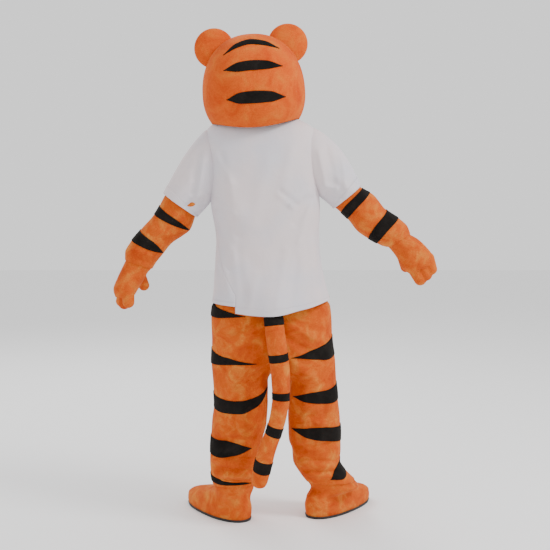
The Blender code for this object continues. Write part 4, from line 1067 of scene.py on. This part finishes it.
def make_mouth():
    """The smiling line over the muzzle."""
    matrix = head_matrix()
    turn = np.array(matrix.to_3x3())
    shift = np.array(matrix.translation)

    def place(x, across):
        z = MOUTH.z + MOUTH.rise * (x / MOUTH.half) ** 2 + across
        groove = 1 - 0.07 * np.exp(-(x / MUZZLE.half / 0.12) ** 2)
        rest = 1 - (x / MUZZLE.half) ** 2 - ((z - MUZZLE.z) / MUZZLE.high) ** 2
        y = MUZZLE.y - MUZZLE.deep * np.sqrt(np.maximum(rest, 0.0)) * groove
        return stack(x, y, z) @ turn.T + shift
    rows = ((-MOUTH.half, 0.0, 0.001), (0.0, 0.0, MOUTH.wide / 2), (MOUTH.half, 0.0, 0.001))
    add_cloth("mouth", lens(place, rows), (48, 4), 0.0008 + APPLIQUE, -0.001, "black_plush", "black_plush", "mouth")


def body_share(points):
    """Under 1 inside the T-shirt's body and over 1 outside it."""
    row = SHIRT.at(points[..., 2])
    middle_y = (row.back + row.front) / 2
    half_y = (row.back - row.front) / 2
    return (np.abs((points[..., 0] - row.middle) / row.half) ** BODY_SQUARE
            + np.abs((points[..., 1] - middle_y) / half_y) ** BODY_SQUARE)


def from_armhole(tube):
    """A sleeve that starts where its tube comes out of the T-shirt's body."""
    places = np.linspace(0.0, 0.9, 181)
    angles = np.linspace(0.0, 1.0, 97)
    grid_u, grid_v = np.meshgrid(angles, places)
    inside = body_share(tube(grid_u, grid_v)) < 1.0
    last = np.array([places[column.nonzero()[0].max()] if column.any() else 0.0 for column in inside.T])
    last = np.convolve(np.concatenate([last[-4:-1], last, last[1:4]]), np.ones(7) / 7, "valid")

    def sleeve(u, v):
        start = np.interp(np.mod(np.asarray(u), 1.0), angles, last)
        return tube(u, start + (1 - start) * np.asarray(v))
    return sleeve


def seam_dip(surface, middle, width, depth):
    """Draws a piece in near its upper seam, along the line to the piece's middle."""
    def dipped(u, v):
        points = surface(u, v)
        share = depth * np.exp(-(np.asarray(v) / width) ** 2) + 0.0 * np.asarray(u)
        away = points - np.array(middle)
        away /= np.linalg.norm(away, axis=-1, keepdims=True)
        return points - away * share[..., None]
    return dipped


def make_shirt():
    for name, seams, hem in (("shirt_back", back_seams, SHIRT_HEM_BACK),
                             ("shirt_front", front_seams, SHIRT_HEM_FRONT)):
        panel = wobble(creased(shirt_surface(seams, hem), SHIRT_CREASES), 0.0012, 16.0)
        piece = add_cloth(name, panel, (96, 110), 0.0, -JERSEY, "white_jersey", "white_jersey", name)
        turned = part_of(panel, 0.0, 1.0, 0.0, 0.030)
        edge = add_cloth(name + "_hem", turned, (96, 6), 0.0013, 0.0001, "white_jersey", "white_jersey")
    for side, table in SHIRT_SLEEVES.items():
        tube = from_armhole(mirrored(limb_surface(table, 0, 5), side))
        name = "shirt_sleeve_" + side
        sign = 1 if side == "left" else -1
        sleeve = wobble(creased(seam_dip(tube, (sign * 0.19, 0.0, -0.13), 0.05, 0.003), SLEEVE_CREASES),
                        0.0012, 16.0)
        piece = add_cloth(name, sleeve, (96, 60), 0.0, -JERSEY, "white_jersey", "white_jersey", name)
        edge = add_cloth(name + "_hem", part_of(sleeve, 0.0, 1.0, 0.90, 1.0), (96, 6), 0.0013, 0.0001,
                         "white_jersey", "white_jersey")


def arm_tube(side):
    return creased(mirrored(limb_surface(ARMS[side], 0, ARM_END), side), ARM_CREASES, 1.0)


def make_arms():
    for side in ARMS:
        name = "arm_" + side
        tube = wobble(arm_tube(side), 0.0012, 22.0)
        piece = add_cloth(name, part_of(tube, 0, 1, 0.08, 1), (84, 110), 0.0, -PLUSH, "orange_plush",
                          "orange_plush", name)
        for number, rows in enumerate(ARM_STRIPES[side], 1):
            def place(degrees, row):
                return tube(degrees / 360.0, row / ARM_END)
            add_stripe(f"arm_stripe_{side}_{number}", lens(place, rows, 0.01), 60)


def trouser_point(side, table, theta, z):
    """A leg's place u and v by its angle and height, held at the centre plane."""
    row = table.at(z)
    plane = CENTRE.at(np.clip(z, -0.900, WAIST)).x * (1 if side == "left" else -1) + SEAM / 2
    middle = np.maximum((row.outer + row.inner) / 2, plane)
    half = row.outer - middle
    reach = np.clip((middle - plane) / half, 0.0, 1.0)
    turn = math.pi - np.arccos(reach ** (BODY_SQUARE / 2))
    return (np.clip(theta / turn, -1.0, 1.0) + 1) / 2, (z - TROUSER_HEM) / (WAIST - SEAM / 2 - TROUSER_HEM)


def make_legs():
    for side in LEGS:
        name = "leg_" + side
        surface = wobble(creased(leg_surface(side), LEG_CREASES), 0.0022, 20.0)
        table = leg_table(side)
        piece = add_cloth(name, surface, (96, 200), 0.0, -PLUSH, "orange_plush", "orange_plush", name)
        for number, rows in enumerate(LEG_STRIPES[side], 1):
            def place(degrees, z):
                u, v = trouser_point(side, table, np.radians(degrees), z)
                return surface(u, v)
            add_stripe(f"leg_stripe_{side}_{number}", lens(place, rows), 60)


def make_tail():
    whole = wobble(rounded_tip(tail_surface(0, TAIL_TIP), 0.04), 0.0020, 30.0)
    tail = grid_mesh(whole, 40, 220, 0.0)
    bmesh.ops.holes_fill(tail, edges=[edge for edge in tail.edges if edge.is_boundary], sides=0)
    bmesh.ops.recalc_face_normals(tail, faces=tail.faces)
    add_mesh("tail", tail, "orange_plush", "orange_plush", "tail")
    for number, (first, last) in enumerate(TAIL_BANDS, 1):
        band = part_of(whole, 0, 1, first / TAIL_TIP, last / TAIL_TIP)
        add_cloth(f"tail_band_{number}", band, (40, 12), 0.0014, 0.0002, "black_plush", "black_plush",
                  f"tail_band_{number}")


def make_gloves():
    for side in PALMS:
        palm = grid_mesh(mirrored(limb_surface(palm_table(side), 0, PALM_END), side), 48, 36, 0.0)
        bmesh.ops.holes_fill(palm, edges=[edge for edge in palm.edges if edge.is_boundary], sides=0)
        bmesh.ops.recalc_face_normals(palm, faces=palm.faces)
        data = bpy.data.meshes.new("glove_form")
        for row in FINGERS[side]:
            finger = fine_finger(side, row)
            finger.to_mesh(data)
            finger.free()
            palm.from_mesh(data)
        palm.to_mesh(data)
        palm.free()
        form = bpy.data.objects.new("glove_form", data)
        bpy.context.scene.collection.objects.link(form)
        remesh = form.modifiers.new("one_body", "REMESH")
        remesh.mode = "VOXEL"
        remesh.voxel_size = 0.0032
        smooth = form.modifiers.new("soft", "SMOOTH")
        smooth.factor = 0.5
        smooth.iterations = 6
        graph = bpy.context.evaluated_depsgraph_get()
        shell = bmesh.new()
        shell.from_mesh(form.evaluated_get(graph).to_mesh())
        bpy.data.objects.remove(form)
        cuff = np.array(mirrored(limb_surface(palm_table(side), 0, PALM_END), side)(
            np.array((0.0, 0.25, 0.5)), np.full(3, 0.06)))
        across = Vector(np.cross(cuff[1] - cuff[0], cuff[2] - cuff[0])).normalized()
        if across.z < 0:
            across = -across
        bmesh.ops.bisect_plane(shell, geom=shell.verts[:] + shell.edges[:] + shell.faces[:],
                               plane_co=Vector(cuff.mean(axis=0)), plane_no=across, clear_outer=True)
        bmesh.ops.solidify(shell, geom=shell.faces[:], thickness=PLUSH)
        bmesh.ops.recalc_face_normals(shell, faces=shell.faces)
        name = "glove_" + side
        piece = add_mesh(name, shell, "orange_plush", "orange_plush", name)


def fine_finger(side, row):
    base = Vector(row[0:3])
    tip = Vector(row[3:6])
    finger = bmesh.new()
    bmesh.ops.create_uvsphere(finger, u_segments=28, v_segments=20, radius=row[6])
    length = (tip - base).length
    for vert in finger.verts:
        if vert.co.z > 0.0:
            vert.co.z += length
    turn = (tip - base).to_track_quat("Z", "Y").to_matrix().to_4x4()
    bmesh.ops.transform(finger, matrix=Matrix.Translation(base) @ turn, verts=finger.verts)
    if side == "right":
        bmesh.ops.scale(finger, vec=(-1, 1, 1), verts=finger.verts)
    bmesh.ops.recalc_face_normals(finger, faces=finger.faces)
    return finger


def make_feet():
    for side in FOOT_PLACES:
        name = "foot_" + side
        upper = wobble(foot_surface(side, SOLE_THICK + SEAM, COLLAR_TOP), 0.0016, 24.0)
        piece = add_cloth(name, upper, (110, 60), 0.0, -PLUSH, "orange_plush", "orange_plush", name)
        sole = filled_mesh(foot_surface(side, 0.0, SOLE_THICK, SOLE_LIP), (110, 4), 0.0)
        add_mesh("sole_" + side, sole, "sole_rubber", "sole_rubber", "sole_" + side)


HEAD_SEAMS = [(0.016, 0.362, 0.030, 0.150, 0.0035, -0.0022), (0.030, 0.150, 0.040, 0.000, 0.0035, -0.0022)]


def make_torso():
    for name in ("torso_back", "torso_front"):
        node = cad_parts[name]
        node.data.materials.clear()
        node.data.materials.append(MATERIALS["orange_plush"])


def make_stage():
    floor_mesh = bmesh.new()
    bmesh.ops.create_grid(floor_mesh, x_segments=1, y_segments=1, size=12.0)
    data = bpy.data.meshes.new("floor")
    floor_mesh.to_mesh(data)
    floor_mesh.free()
    floor = bpy.data.objects.new("floor", data)
    floor.location.z = FLOOR - 0.0005
    bpy.context.scene.collection.objects.link(floor)
    plain("pale_floor", "f4f4f4", 0.9)
    data.materials.append(MATERIALS["pale_floor"])
    world = bpy.data.worlds.new("studio")
    world.use_nodes = True
    background = world.node_tree.nodes["Background"]
    background.inputs["Color"].default_value = (1.0, 1.0, 1.0, 1.0)
    background.inputs["Strength"].default_value = 1.15
    bpy.context.scene.world = world
    for name, place, size, power in (("key", (-3.0, 1.6, 2.4), 1.2, 130.0), ("fill", (2.6, 3.2, 0.6), 2.6, 14.0),
                                     ("front", (1.6, -3.4, 2.2), 2.0, 90.0)):
        light = bpy.data.lights.new(name, "AREA")
        light.size = size
        light.energy = power
        lamp = bpy.data.objects.new(name, light)
        lamp.location = place
        lamp.rotation_euler = (Vector((0, 0, -0.5)) - Vector(place)).to_track_quat("-Z", "Y").to_euler()
        bpy.context.scene.collection.objects.link(lamp)


def make_camera():
    data = bpy.data.cameras.new("camera")
    data.lens = 77.8
    data.sensor_width = 36.0
    camera = bpy.data.objects.new("camera", data)
    place = Vector((-0.049, 4.5, -0.155))
    camera.location = place
    camera.rotation_euler = (Vector((-0.049, 0.0, -0.532)) - place).to_track_quat("-Z", "Y").to_euler()
    bpy.context.scene.collection.objects.link(camera)
    bpy.context.scene.camera = camera


make_camera()
make_materials()
make_stage()
make_head()
make_shirt()
make_torso()
make_arms()
make_legs()
make_tail()
make_gloves()
make_feet()
